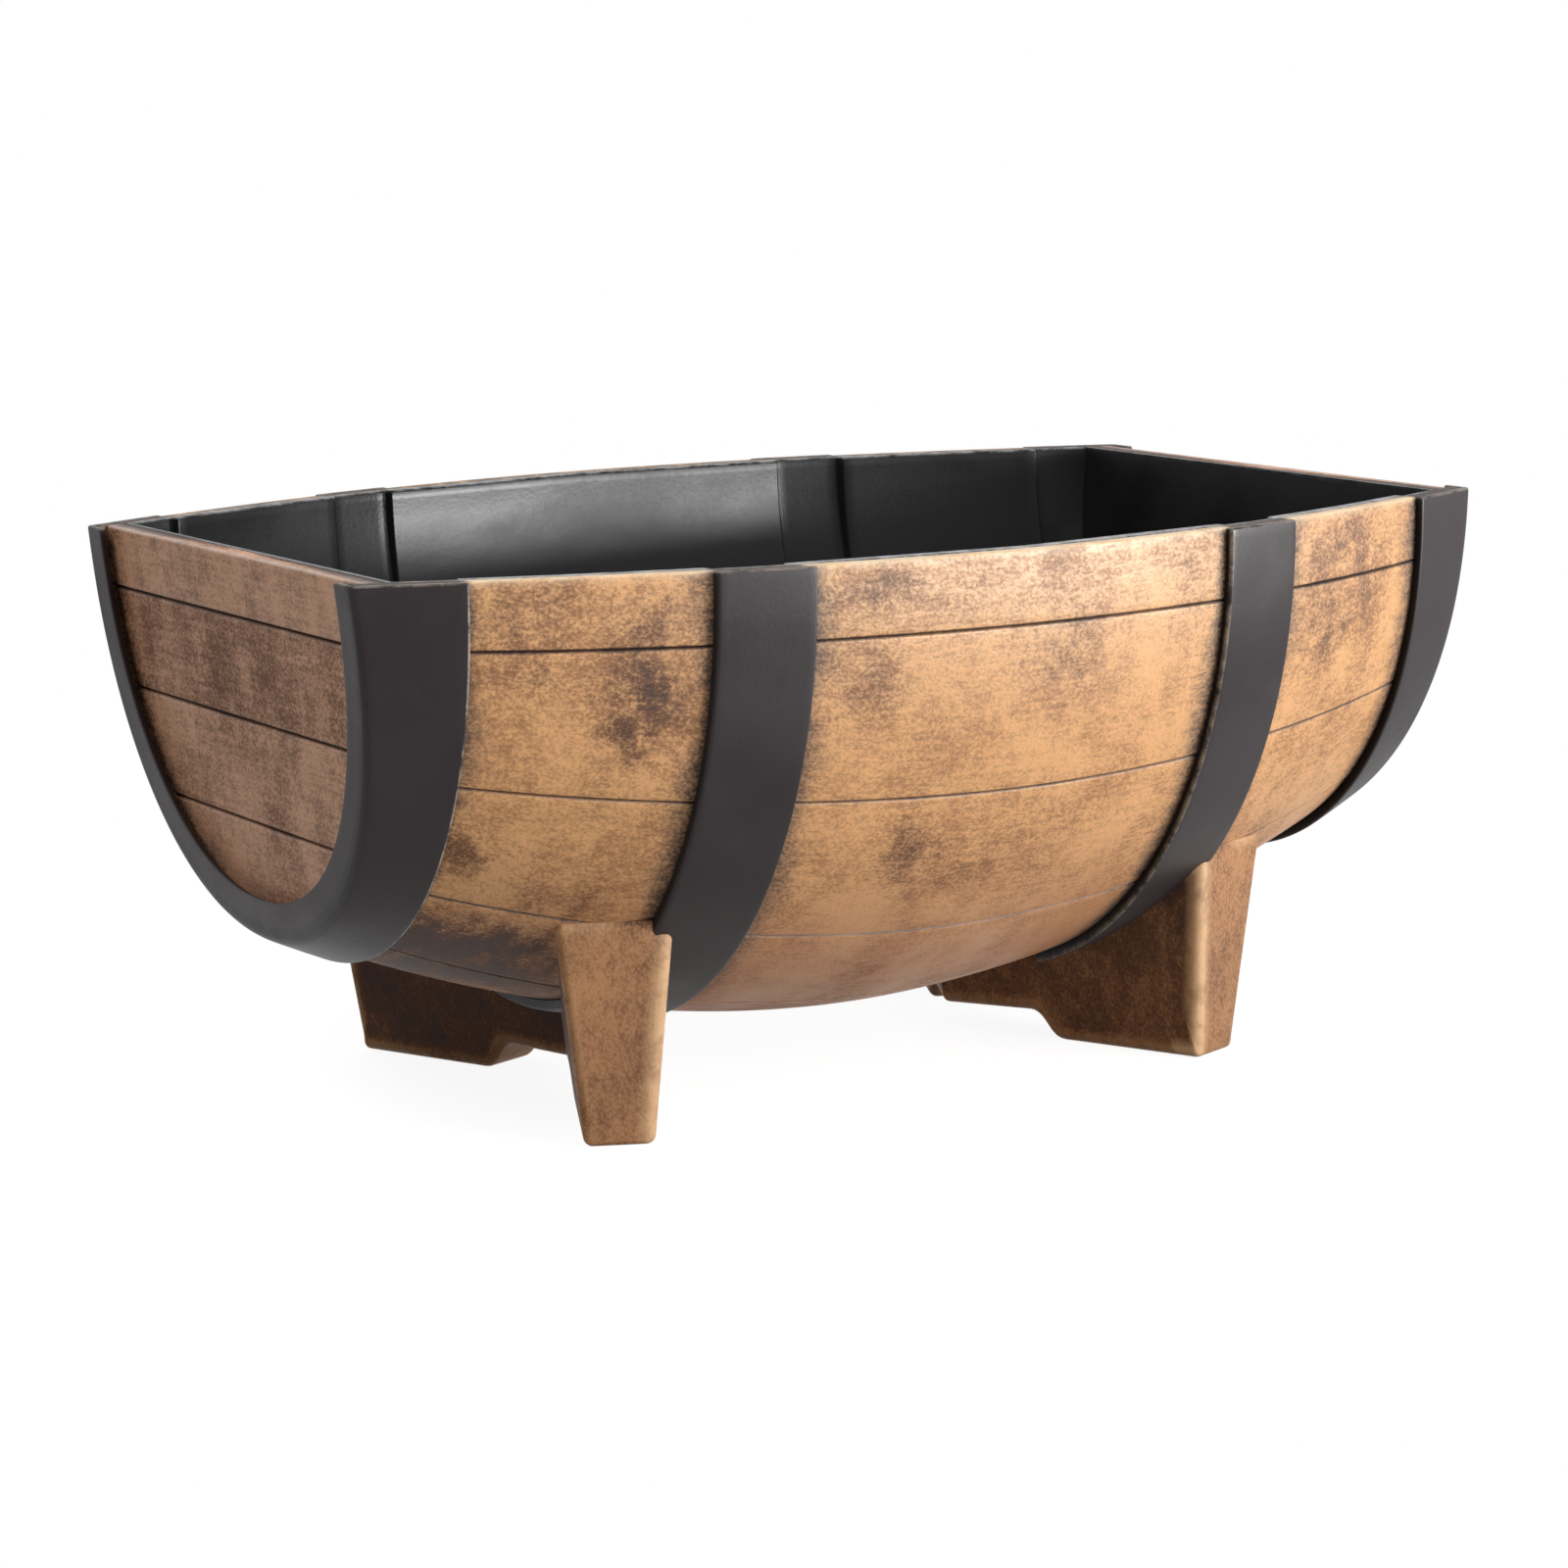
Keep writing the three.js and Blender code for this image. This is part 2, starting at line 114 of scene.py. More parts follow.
print("keel at", hull(0, math.pi / 2, 0).round(1), "end at the rim", end_x(0.0, 0.0))

# %% [markdown]
# ## Rounded outlines
# No edge on the real planter is sharp: wood, paint and castings all turn over a small radius, and that is where
# the light catches. A bevel modifier could round each piece, but it stumbles over long thin facets. Here each
# piece starts as an outline with true arcs at its corners, and the outline is then carried along the hull.

# %% Outlines with arcs at their corners
def rounded_outline(corners, radii, step, shrink=0.0, arc_steps=5, closed=True):
    """Each corner becomes an arc that touches both its sides, about a centre on the corner's bisector. Shrink
    moves every side inwards and takes the same off each radius. Sides are split to the step, counted before
    the shrink, so that every shrink has the same number of points."""
    corners = np.asarray(corners, float)
    last = len(corners) - 1
    ahead = np.roll(corners, -1, axis=0) - corners
    ahead /= np.linalg.norm(ahead, axis=1)[:, None]
    behind = np.roll(ahead, 1, axis=0)
    inward = np.stack([-ahead[:, 1], ahead[:, 0]], axis=1)
    cosine = (ahead * behind).sum(axis=1)
    turn = np.arctan2(behind[:, 0] * ahead[:, 1] - behind[:, 1] * ahead[:, 0], cosine)
    tangent = np.array([abs(math.tan(half)) for half in turn / 2])
    reach = radii * tangent
    radii = np.maximum(radii - shrink * np.sign(turn), 1e-3)
    moved = corners + (inward + np.roll(inward, 1, axis=0)) / (1 + cosine)[:, None] * shrink
    points = []
    for i in range(last + 1):
        if not closed and i in (0, last):
            arc = moved[i][None]
        else:
            swing = np.linspace(0, abs(turn[i]), arc_steps + 1)[:, None]
            sideways = np.sign(turn[i]) * inward[i - 1] * (1 - np.cos(swing))
            arc = moved[i] - behind[i] * radii[i] * tangent[i] + radii[i] * (sideways + behind[i] * np.sin(swing))
        points.append(arc)
        if closed or i < last:
            following = (i + 1) % len(corners)
            straight = np.linalg.norm(corners[following] - corners[i]) - reach[i] - reach[following]
            count = max(int(math.ceil(straight / step)), 1)
            back = radii[following] * tangent[following] if closed or following < last else 0
            target = moved[following] - ahead[i] * back
            points.append(arc[-1] + (target - arc[-1]) * np.arange(1, count)[:, None] / count)
    return np.concatenate(points)


def box_outline(low, high, outer_radius, inner_radius, step, shrink=0.0):
    """A rectangle from (place, inset) low to high, anticlockwise, with one radius for the two corners on the
    outer face and one for the two inside."""
    corners = [(low[0], low[1]), (high[0], low[1]), (high[0], high[1]), (low[0], high[1])]
    return rounded_outline(corners, [outer_radius, outer_radius, inner_radius, inner_radius], step, shrink)


print("a plank's outline has", len(box_outline((0, 0), (50, 8), 1.6, 0.6, 4)), "points")

# %% [markdown]
# ## From rings of points to a piece
# A piece is a stack of rings. Quads join ring to ring, and one flat face closes each end. The mesh could be
# built with an extrude tool, one ring at a time, but arrays are quicker and exact. The builder turns the faces
# outwards by the sign of the volume, merges points that fall together, and stores what the paint needs.

# %% The builder
ROOT = "root"
MM = 0.001
SHARP_ANGLE = math.radians(40)


def skin(rings, closed_ends=True):
    """Quads between neighbouring rings, whose points run round and close on themselves, and a face over the
    first and the last ring. The signed volume, a sum of corner . (corner x corner), decides the turn."""
    count, around = rings.shape[:2]
    index = np.arange(count * around).reshape(count, around)
    following = np.roll(index, -1, axis=1)
    quads = np.stack([index[:-1], following[:-1], following[1:], index[1:]], axis=-1).reshape(-1, 4)
    points = rings.reshape(-1, 3)
    a, b, c, d = (points[quads[:, k]] for k in range(4))
    volume = np.einsum("ij,ij->", a, np.cross(b, c)) + np.einsum("ij,ij->", a, np.cross(c, d))
    caps = [index[0][::-1], index[-1]] if closed_ends else []
    for cap in caps:
        fan = points[cap]
        volume += np.einsum("ij,ij->", np.broadcast_to(fan[0], fan[1:-1].shape), np.cross(fan[1:-1], fan[2:]))
    faces = quads.tolist() + [cap.tolist() for cap in caps]
    return points, faces if volume > 0 else [face[::-1] for face in faces]


def make_piece(name, points, faces, material, nodes, fields=None):
    """Puts points in mm and faces into a mesh at the origin, with float fields for the paint."""
    mesh = bpy.data.meshes.new(name)
    mesh.from_pydata((points * MM).tolist(), [], faces)
    for field, values in (fields or {}).items():
        layer = mesh.attributes.new(field, "FLOAT", "POINT")
        layer.data.foreach_set("value", np.ascontiguousarray(np.ravel(values), np.float32))
    mesh.validate()
    mesh.shade_smooth()
    mesh.set_sharp_from_angle(angle=SHARP_ANGLE)
    mesh.materials.append(material)
    piece = bpy.data.objects.new(name, mesh)
    bpy.context.scene.collection.objects.link(piece)
    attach(piece, ROOT)
    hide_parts(*nodes)
    return piece


def welded(piece, distance=1e-5):
    """Merges points that fall together, as at a pole."""
    work = bmesh.new()
    work.from_mesh(piece.data)
    bmesh.ops.remove_doubles(work, verts=work.verts, dist=distance)
    bmesh.ops.dissolve_degenerate(work, edges=work.edges, dist=distance)
    work.to_mesh(piece.data)
    work.free()
    return piece


# %% [markdown]
# ## Finishes as formulas
# The finish on the real planter is paint: gold-brown rubbed over a dark ground so that pores, seams and corners
# stay dark. It could be painted as an image, but an image ties the part to one size. A formula of noise patterns
# follows the part wherever it is seen from. Each pattern is written as plain arithmetic on sockets.

# %% Arithmetic on shader sockets
class Pattern:
    """One output socket of a material's nodes. Arithmetic on it adds Math nodes."""

    def __init__(self, tree, output):
        self.tree = tree
        self.output = output

    def node(self, kind, settings=None, inputs=None, output=0):
        """Adds a node: its settings first, then values or patterns for its sockets."""
        made = self.tree.nodes.new(kind)
        for name, value in (settings or {}).items():
            setattr(made, name, value)
        for name, value in (inputs or {}).items():
            if isinstance(value, Pattern):
                self.tree.links.new(value.output, made.inputs[name])
            else:
                made.inputs[name].default_value = value
        return Pattern(self.tree, made.outputs[output])

    def math(self, operation, *values):
        return self.node("ShaderNodeMath", {"operation": operation}, dict(enumerate(values)))

    def absolute(self):
        return self.math("ABSOLUTE", self)

    def __add__(self, other):
        return self.math("ADD", self, other)

    def __radd__(self, other):
        return self.math("ADD", other, self)

    def __sub__(self, other):
        return self.math("SUBTRACT", self, other)

    def __rsub__(self, other):
        return self.math("SUBTRACT", other, self)

    def __mul__(self, other):
        return self.math("MULTIPLY", self, other)

    def __rmul__(self, other):
        return self.math("MULTIPLY", other, self)

    def ramp(self, low, high, start=0.0, stop=1.0):
        """A smooth step: start at low, stop at high, level beyond."""
        inputs = {"Value": self, "From Min": low, "From Max": high, "To Min": start, "To Max": stop}
        return self.node("ShaderNodeMapRange", {"interpolation_type": "SMOOTHSTEP"}, inputs, "Result")

    def mix(self, one, other):
        """The first colour where this pattern is 0, the second where it is 1."""
        return self.node("ShaderNodeMix", {"data_type": "RGBA"}, {0: self, 6: one, 7: other}, 2)


def new_material(name):
    """A material, the Pattern of its object coordinates, and its main shader."""
    material = bpy.data.materials.new(name)
    material.use_nodes = True
    tree = material.node_tree
    coordinates = tree.nodes.new("ShaderNodeTexCoord")
    return material, Pattern(tree, coordinates.outputs["Object"]), tree.nodes["Principled BSDF"]


def noise(place, scale, stretch=(1, 1, 1), detail=2.0, roughness=0.5, shift=(0, 0, 0)):
    """Noise with the scale in cells for each metre, drawn out along an axis by a stretch below 1."""
    moved = place.node(
        "ShaderNodeMapping", {"vector_type": "POINT"}, {"Vector": place, "Scale": stretch, "Location": shift}
    )
    inputs = {"Vector": moved, "Scale": scale, "Detail": detail, "Roughness": roughness}
    return place.node("ShaderNodeTexNoise", {"noise_dimensions": "3D"}, inputs)


def along(place, axis):
    """One coordinate of a place, in metres."""
    return place.node("ShaderNodeSeparateXYZ", {}, {"Vector": place}, axis)


def field(place, name):
    """A float field that was stored with the mesh."""
    return place.node("ShaderNodeAttribute", {"attribute_name": name}, {}, "Fac")


def connect(shader, **inputs):
    """Links patterns, or sets values, on the main shader. Underscores stand for spaces."""
    for name, value in inputs.items():
        socket = shader.inputs[name.replace("_", " ")]
        if isinstance(value, Pattern):
            value.tree.links.new(value.output, socket)
        else:
            socket.default_value = value


def bumped(place, height, distance, strength=1.0):
    """A bump from a height pattern; distance is what a height of 1 stands for, in metres."""
    inputs = {"Height": height, "Distance": distance, "Strength": strength}
    return place.node("ShaderNodeBump", {}, inputs)


# %% [markdown]
# ## The rubbed paint
# Gold-brown paint was rubbed over a nearly black ground. It is gold where it lies thick and bronze where fine
# speckle breaks it, burnt brown in clouds, black in seams and sooty beside the hoops, and pale where edges are
# worn. Light and shade are painted in as well: painted shade beside the hoops, low on the hull's left end,
# along the head flanges and on the leg sides, and painted highlights on lips, rim tops and the hull's upper
# middle. One photograph's pattern could be traced, but only noise and distances give every side its own.

# %% Where the paint is thin
# The ground, the burnt brown of clouds and painted shade, and the soot with painted shade beside the hoops.
GROUND = (0.050, 0.025, 0.018, 1)
BURNT = (0.185, 0.074, 0.029, 1)
SOOT_AND_SHADE = (0.042, 0.036, 0.036, 1)


def hoop_soot_and_shade(place):
    """Soot and painted shade beside the hoops: 1 beside a hoop, falling to 0 by the distance from |x| to the
    nearest band; the reach swells and shrinks from 7 to 27 mm along the hoop."""
    centre, half = (MIDDLE_HOOP[0] + MIDDLE_HOOP[1]) / 2 * MM, (MIDDLE_HOOP[1] - MIDDLE_HOOP[0]) / 2 * MM
    x = along(place, "X").absolute()
    gap = x.math("MINIMUM", (x - centre).absolute() - half, END_HOOP * MM - x)
    reach = noise(place, 13, (1, 0.8, 0.8), 2, 0.5).ramp(0.30, 0.70) * 0.020 + 0.007
    ragged = (noise(place, 90, (1, 0.8, 0.8), 4, 0.65) - 0.5) * 0.010
    return gap.math("DIVIDE", gap + ragged, reach).ramp(-0.2, 1.0, 1.0, 0.0)


def clouds_and_shade(place, grain, blotch):
    """Soft dark patches: wide ones with smaller ones in them, and the dark clouds and painted shade that the mesh
    carries in its shade field. The blotch says how much the small ones break up the rest."""
    wide = noise(place, 11, grain, 2, 0.5, (0.37, 0.11, 0.23)).ramp(0.42, 0.72)
    small = noise(place, 38, grain, 3, 0.6, (0.3, 0.1, 0.7)).ramp(0.36, 0.68)
    broken = (small - 0.5) * blotch
    return wide * 0.22 + small * (0.06 + wide * 0.16) * blotch + field(place, "shade") * (0.85 + broken * 0.75)


# %% Paint for the staves, the heads and the legs
def rubbed_paint(name, tones, grain, soot_and_shade_weight, under_weight, lip_wear_and_highlight_weight, blotch, gloss):
    """Tone = a level, plus broad patches and speckle that grows in clouds, less the clouds. It runs from bronze to
    gold and then burns brown in clouds and painted shade, blackens in seams, turns sooty with painted shade
    beside hoops, and turns paler where it is worn and where a painted highlight lies. Low down the under tone
    takes over. Blotch breaks up the clouds."""
    gold, bronze, under, pale_tone = tones
    material, place, shader = new_material(name)
    # Dark clouds in the paint, with the painted shade that the shade field holds.
    clouded_and_shaded = clouds_and_shade(place, grain["cloud"], blotch)
    grit = noise(place, 620, grain["pore"], 2, 0.6).ramp(0.32, 0.68) - 0.5
    mottle = noise(place, 150, grain["pore"], 4, 0.7, (0.2, 0.9, 0.4)).ramp(0.26, 0.74) - 0.5
    brush = noise(place, 340, grain["brush"], 3, 0.6, (0.5, 0.2, 0.1)).ramp(0.30, 0.70) - 0.5
    broad = noise(place, 22, grain["cloud"], 3, 0.6, (0.7, 0.3, 0.6)).ramp(0.32, 0.68) - 0.5
    speckle = grit * 0.50 + mottle * 0.34 + brush * 0.26
    tone = 0.68 + broad * 0.42 + speckle * (0.78 + clouded_and_shaded * 0.7) - clouded_and_shaded * 0.30
    colour = tone.ramp(0.0, 1.0).mix(bronze, gold)
    height = along(place, "Z")
    colour = (height.ramp(0.035, 0.17, under_weight, 0.0) * (1.0 + speckle * 0.9)).mix(colour, under)
    seam = field(place, "edge").ramp(0.0002, 0.0014, 1.0, 0.0)
    dark = clouded_and_shaded * (0.66 - speckle * 0.55)
    colour = dark.ramp(0.0, 0.75).mix(colour, BURNT)
    dark = dark + seam * 0.70
    colour = dark.ramp(0.12, 1.1).mix(colour, GROUND)
    # Soot and painted shade beside the hoops darken the paint.
    if soot_and_shade_weight:
        soot_and_shade = hoop_soot_and_shade(place) * (0.78 - speckle * 0.5) * soot_and_shade_weight
        colour = soot_and_shade.ramp(0.0, 1.0).mix(colour, SOOT_AND_SHADE)
        dark = dark + soot_and_shade
    # Lips below seams and leg edges are painted pale: wear and a painted highlight on the rounded edge.
    lip = field(place, "lip")
    lip_wear_and_highlight = lip.ramp(0.0005, 0.0011) * lip.ramp(0.0015, 0.0030, 1.0, 0.0)
    patchy = noise(place, 60, (1, 1, 1), 3, 0.6, (0.1, 0.6, 0.8)).ramp(0.34, 0.60)
    # The hull's upper middle is painted paler: a painted highlight.
    middle = along(place, "X").absolute().ramp(0.11, 0.20, 1.0, 0.15)
    crown_highlight = height.ramp(0.20, 0.296) * middle * (0.06 + speckle * 0.12)
    # Pale wear, with painted highlights on rim tops, lips, hoop ends and leg edges.
    wear_and_highlight = lip_wear_and_highlight * patchy * lip_wear_and_highlight_weight + field(place, "wear_and_highlight") * (0.55 + patchy * 0.45)
    colour = (wear_and_highlight + crown_highlight).mix(colour, pale_tone)
    relief = brush * 0.35 + grit * 0.45 + mottle * 0.5
    connect(
        shader,
        Base_Color=colour,
        Roughness=(tone - dark).ramp(0.0, 0.9, 0.64, 0.46),
        Normal=bumped(place, relief, 0.0003, 0.5),
        Specular_IOR_Level=gloss,
    )
    return material


# Tones are gold, bronze, under and pale, the colour of wear and painted highlights. Grain draws each pattern
# out along the boards.
STAVE_GRAIN = {"cloud": (1.2, 0.8, 0.8), "pore": (0.8, 1, 1), "brush": (0.06, 1, 1)}
HEAD_GRAIN = {"cloud": (1, 1.5, 0.55), "pore": (1, 0.6, 1), "brush": (1, 0.06, 1)}
LEG_GRAIN = {"cloud": (1, 1, 0.8), "pore": (1, 1, 0.8), "brush": (0.5, 0.5, 0.3)}

stave_paint = rubbed_paint(
    "stave_paint",
    [(0.85, 0.460, 0.205, 1), (0.38, 0.170, 0.066, 1), (0.52, 0.230, 0.115, 1), (0.88, 0.70, 0.48, 1)],
    STAVE_GRAIN, soot_and_shade_weight=1.0, under_weight=0.75, lip_wear_and_highlight_weight=0.45, blotch=1.0, gloss=0.26,
)
head_paint = rubbed_paint(
    "head_paint",
    [(0.68, 0.370, 0.225, 1), (0.25, 0.142, 0.096, 1), (0.52, 0.270, 0.190, 1), (0.56, 0.46, 0.41, 1)],
    HEAD_GRAIN, soot_and_shade_weight=0.0, under_weight=0.3, lip_wear_and_highlight_weight=0.20, blotch=0.45, gloss=0.16,
)
leg_paint = rubbed_paint(
    "leg_paint",
    [(0.56, 0.285, 0.130, 1), (0.17, 0.075, 0.033, 1), (0.30, 0.135, 0.062, 1), (0.80, 0.50, 0.27, 1)],
    LEG_GRAIN, soot_and_shade_weight=0.0, under_weight=0.3, lip_wear_and_highlight_weight=0.15, blotch=0.40, gloss=0.16,
)
print("paints:", stave_paint.name, head_paint.name, leg_paint.name)

# %% [markdown]
# ## Black paint, black liner, steel and bare wood
# The hoops are charcoal satin paint with a little unevenness from the brush. The liner is smoother and has a
# soft sheen that a grazing light draws out. Screws and dowels sit inside and still get a finish of their own.

# %% The other finishes
# The black that painted shade turns to.
JET = (0.004, 0.004, 0.004, 1)


def satin_black(name, dark, light, roughness, grain, pale_tone, gloss):
    """Two near blacks blended by slow noise, with fine dust in the gloss and the height. Worn places and painted
    highlights turn pale where the chips noise is high, and places with painted shade go black."""
    material, place, shader = new_material(name)
    slow = noise(place, 14, grain, 3, 0.55).ramp(0.3, 0.7)
    fine = noise(place, 420, (1, 1, 1), 2, 0.6)
    chips = noise(place, 75, (1, 1, 1), 5, 0.75, (0.6, 0.2, 0.9)).ramp(0.36, 0.62)
    black = field(place, "shade").mix((slow * 0.8 + fine * 0.2).mix(dark, light), JET)
    connect(
        shader,
        Base_Color=(field(place, "wear_and_highlight") * chips).mix(black, pale_tone),
        Roughness=(slow * 0.5 + fine * 0.5).ramp(0.2, 0.8, roughness[0], roughness[1]),
        Normal=bumped(place, slow * 0.6 + fine * 0.25, 0.0006, 0.45),
        Specular_IOR_Level=gloss,
    )
    return material


hoop_paint = satin_black(
    "hoop_paint", dark=(0.020, 0.0145, 0.0155, 1), light=(0.031, 0.0235, 0.0250, 1), roughness=(0.42, 0.54),
    grain=(1, 1, 1), pale_tone=(0.50, 0.42, 0.34, 1), gloss=0.20,
)
liner_finish = satin_black(
    "liner_finish", dark=(0.008, 0.008, 0.0085, 1), light=(0.014, 0.014, 0.0145, 1), roughness=(0.28, 0.38),
    grain=(0.5, 1, 1), pale_tone=(0.42, 0.41, 0.41, 1), gloss=0.09,
)

screw_steel, steel_place, steel = new_material("screw_steel")
turned = noise(steel_place, 900, (1, 1, 1), 2, 0.5)
connect(
    steel,
    Base_Color=turned.mix((0.42, 0.42, 0.44, 1), (0.62, 0.62, 0.63, 1)),
    Metallic=1.0,
    Roughness=turned.ramp(0.3, 0.7, 0.28, 0.45),
)
dowel_wood, dowel_place, beech = new_material("dowel_wood")
fibre = noise(dowel_place, 700, (1, 1, 0.08), 3, 0.6)
connect(
    beech,
    Base_Color=fibre.mix((0.42, 0.27, 0.14, 1), (0.66, 0.48, 0.28, 1)),
    Roughness=0.7,
    Normal=bumped(dowel_place, fibre, 0.0002),
)
fastenings = {"screw": screw_steel, "dowel": dowel_wood}
for name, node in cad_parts.items():
    for kind, finish in fastenings.items():
        if kind in name:
            for slot in node.material_slots:
                slot.material = finish
print("blacks and fastenings:", hoop_paint.name, liner_finish.name, screw_steel.name, dowel_wood.name)

# %% [markdown]
# ## Staves
# A stave is a thin plank, widest at the bilge, bent over the hull. It could be a strip with a Solidify modifier,
# but then its long edges would be square. Here a plank outline with rounded corners is stretched to the stave's
# width at each station and laid round the section by its running length, so every edge keeps its true radius.

# %% Ten bent staves
STAVE_EDGES = np.radians([0, 8.4, 27.9, 49.4, 69.7, 90])
STAVE_NAMES = ["rim", "upper", "middle", "lower", "keel"]
STAVE_THICKNESS = 8.0
SEAM_GAP = 0.6
STAVE_SETBACK = 4.3
NOMINAL_WIDTH = 60.0
END_ROUND = 0.7
RIGID_EDGE = 6.0  # this much of the plank outline keeps its shape beside each seam
KEEL_SEAM = STAVE_EDGES[4]
FAINT = 0.8  # takes the keel seam's dark line out of full strength
FAR = 99.0  # a distance past the reach of any edge wear


def stave_rings(low, high, stations):
    """For each station: the plank outline, stretched between the two seams by running length, at the angle
    that this length gives. The first and last stations are drawn in by a small radius."""
    ends = np.array([1.0, 0.35, 0.0] + [0.0] * (len(stations) - 6) + [0.0, 0.35, 1.0])
    outlines = np.stack([
        box_outline((0, 0), (NOMINAL_WIDTH, STAVE_THICKNESS), 1.4, 0.8, 3.5, shrink) for shrink in ends * END_ROUND
    ])
    running = running_length(stations)
    start, stop = (np.array([np.interp(edge, FINE_ANGLES, row) for row in running]) for edge in (low, high))
    start = start + (SEAM_GAP / 2 if low > 0 else 0)
    stop = stop - SEAM_GAP / 2
    place, inset = outlines[..., 0], outlines[..., 1]
    share = np.clip((place - RIGID_EDGE) / (NOMINAL_WIDTH - 2 * RIGID_EDGE), 0, 1)
    arc = start[:, None] + place + share * (stop - start - NOMINAL_WIDTH)[:, None]
    angle = angle_along_arc(stations, arc)
    # The end stations follow the leaning end plane.
    limit = end_x(angle, inset, STAVE_SETBACK)
    x = np.sign(stations)[:, None] * np.minimum(np.abs(stations)[:, None], limit)
    from_top = arc - start[:, None]
    to_bottom = (stop - start)[:, None] - from_top
    at_rim = low == 0
    faint_top, faint_bottom = (FAINT if abs(edge - KEEL_SEAM) < 0.01 else 0.0 for edge in (low, high))
    # The rim's top face is painted pale, wear and a painted highlight, and dark where the hoops cross it.
    top_face = np.clip(1 - from_top / 2.0, 0, 1) * at_rim
    out = np.abs(x)
    hooped = (out > END_HOOP) | (out > MIDDLE_HOOP[0]) & (out < MIDDLE_HOOP[1])
    fields = {
        "edge": np.minimum(from_top + (FAR if at_rim else faint_top), to_bottom + faint_bottom) * MM,
        "lip": (from_top + (0 if low > KEEL_SEAM - 0.01 else FAR)) * MM,
        "wear_and_highlight": top_face * np.where(hooped, 0.0, 0.85),
        "shade": stave_shade(x, angle) + top_face * hooped * 1.5,
    }
    return hull(x, angle, inset), fields


# Dark clouds in the paint and painted shade: x, angle in degrees, reach along and round, strength. The
# front's darkest ones follow the places that the photograph shows, and the rear takes the same ones the other
# way round. The strong ones low on the left end, 60 to 82 degrees round, are painted shade under the hull.
CLOUDS_AND_SHADE = np.array([
    (-235, 4, 60, 5, 0.34), (-235, 50, 60, 14, 0.04), (230, 7, 60, 9, 0.40), (-246, 74, 72, 11, 1.20),
    (-290, 82, 80, 14, 0.70), (-60, 86, 90, 10, 0.20), (-202, 14, 26, 6, 0.80), (-185, 5.5, 18, 4, 0.34),
    (-242, 11.5, 26, 2, 0.30), (-229, 45, 30, 4, 0.32), (-268, 38.5, 13, 5, 0.60), (-250, 60, 52, 8, 1.50),
    (-199, 21, 19, 8, 0.40), (-88, 3.5, 32, 3, 0.40), (-95, 13, 28, 7, 0.42), (18, 10.5, 28, 4.5, 0.50),
    (17, 16, 20, 3.5, 0.35), (-43, 36, 34, 5, 0.40), (38, 32, 21, 4, 0.30), (226, 24, 52, 14, 0.22),
    (60, 3, 150, 4, 0.12), (128, 58, 22, 4, 0.70), (8, 57, 52, 3, 0.20), (225, 7, 38, 3, 0.10),
    (209, 14.5, 34, 5, 0.30), (-80, 61, 36, 3, 0.20),
])


def stave_shade(x, angle):
    """The sum over the dark clouds and painted shade of strength * exp(-(offset along / reach) ** 2 -
    (offset round / reach) ** 2).
    """
    along_hull, round_hull, reach, spread, strength = CLOUDS_AND_SHADE.T[:, :, None, None]
    off = ((x - along_hull) / reach) ** 2 + ((np.degrees(angle) - round_hull) / spread) ** 2
    return (strength * np.exp(-off)).sum(axis=0)


# The share of the rim's pale top, wear and painted highlight, that the rear staves keep.
REAR_WEAR_AND_HIGHLIGHT = 0.2
# Stations crowd towards the ends, where the stave meets the leaning plane.
half_stations = np.concatenate([np.linspace(0, 300, 61)[1:], np.linspace(304, 325.7, 9), [326.3, 326.6]])
stave_stations = np.concatenate([-half_stations[::-1], [0.0], half_stations])

for i, level in enumerate(STAVE_NAMES):
    rings, fields = stave_rings(STAVE_EDGES[i], STAVE_EDGES[i + 1], stave_stations)
    # The rear staves are a darker copy: their rim top turns from pale to painted shade.
    rear_shaded = {**fields, "wear_and_highlight": fields["wear_and_highlight"] * REAR_WEAR_AND_HIGHLIGHT, "shade": fields["shade"] + fields["wear_and_highlight"]}
    for name, turn, values in (
        (f"front_{level}_stave", [1, 1, 1], fields),
        (f"rear_{level}_stave", [-1, -1, 1], rear_shaded),
    ):
        points, faces = skin(rings * turn)
        make_piece(f"{name}_shaped", points, faces, stave_paint, [name], values)
print("staves:", len(stave_stations), "stations by", rings.shape[1], "points")

# %% [markdown]
# ## Head boards
# Each end is closed by four flat boards with the grain across, set a little behind the face of the end hoop. A
# board is the same plank outline, standing on edge and carried from side to side; its width at each height is
# what the hull leaves there, so the two ends of the board follow the groove in the staves.

# %% Two heads of four boards
HEAD_SEAMS = [0, 32.6, 86.7, 141.6]
HEAD_BOTTOM = 189.5
HEAD_SETBACK = 8.5
HEAD_THICKNESS = 12.0
HEAD_INSET = 5.3
FLANGE_COVER = 9.0  # how far the hoop's flange stands over the board's edge
# How far the painted shade along the hoop's flange reaches into the board.
FLANGE_SHADE_REACH = 14.0
BOARD_NAMES = ["top", "upper", "lower", "bottom"]
BOARD_SHADES = [0.0, 0.48, 0.20, 0.06]


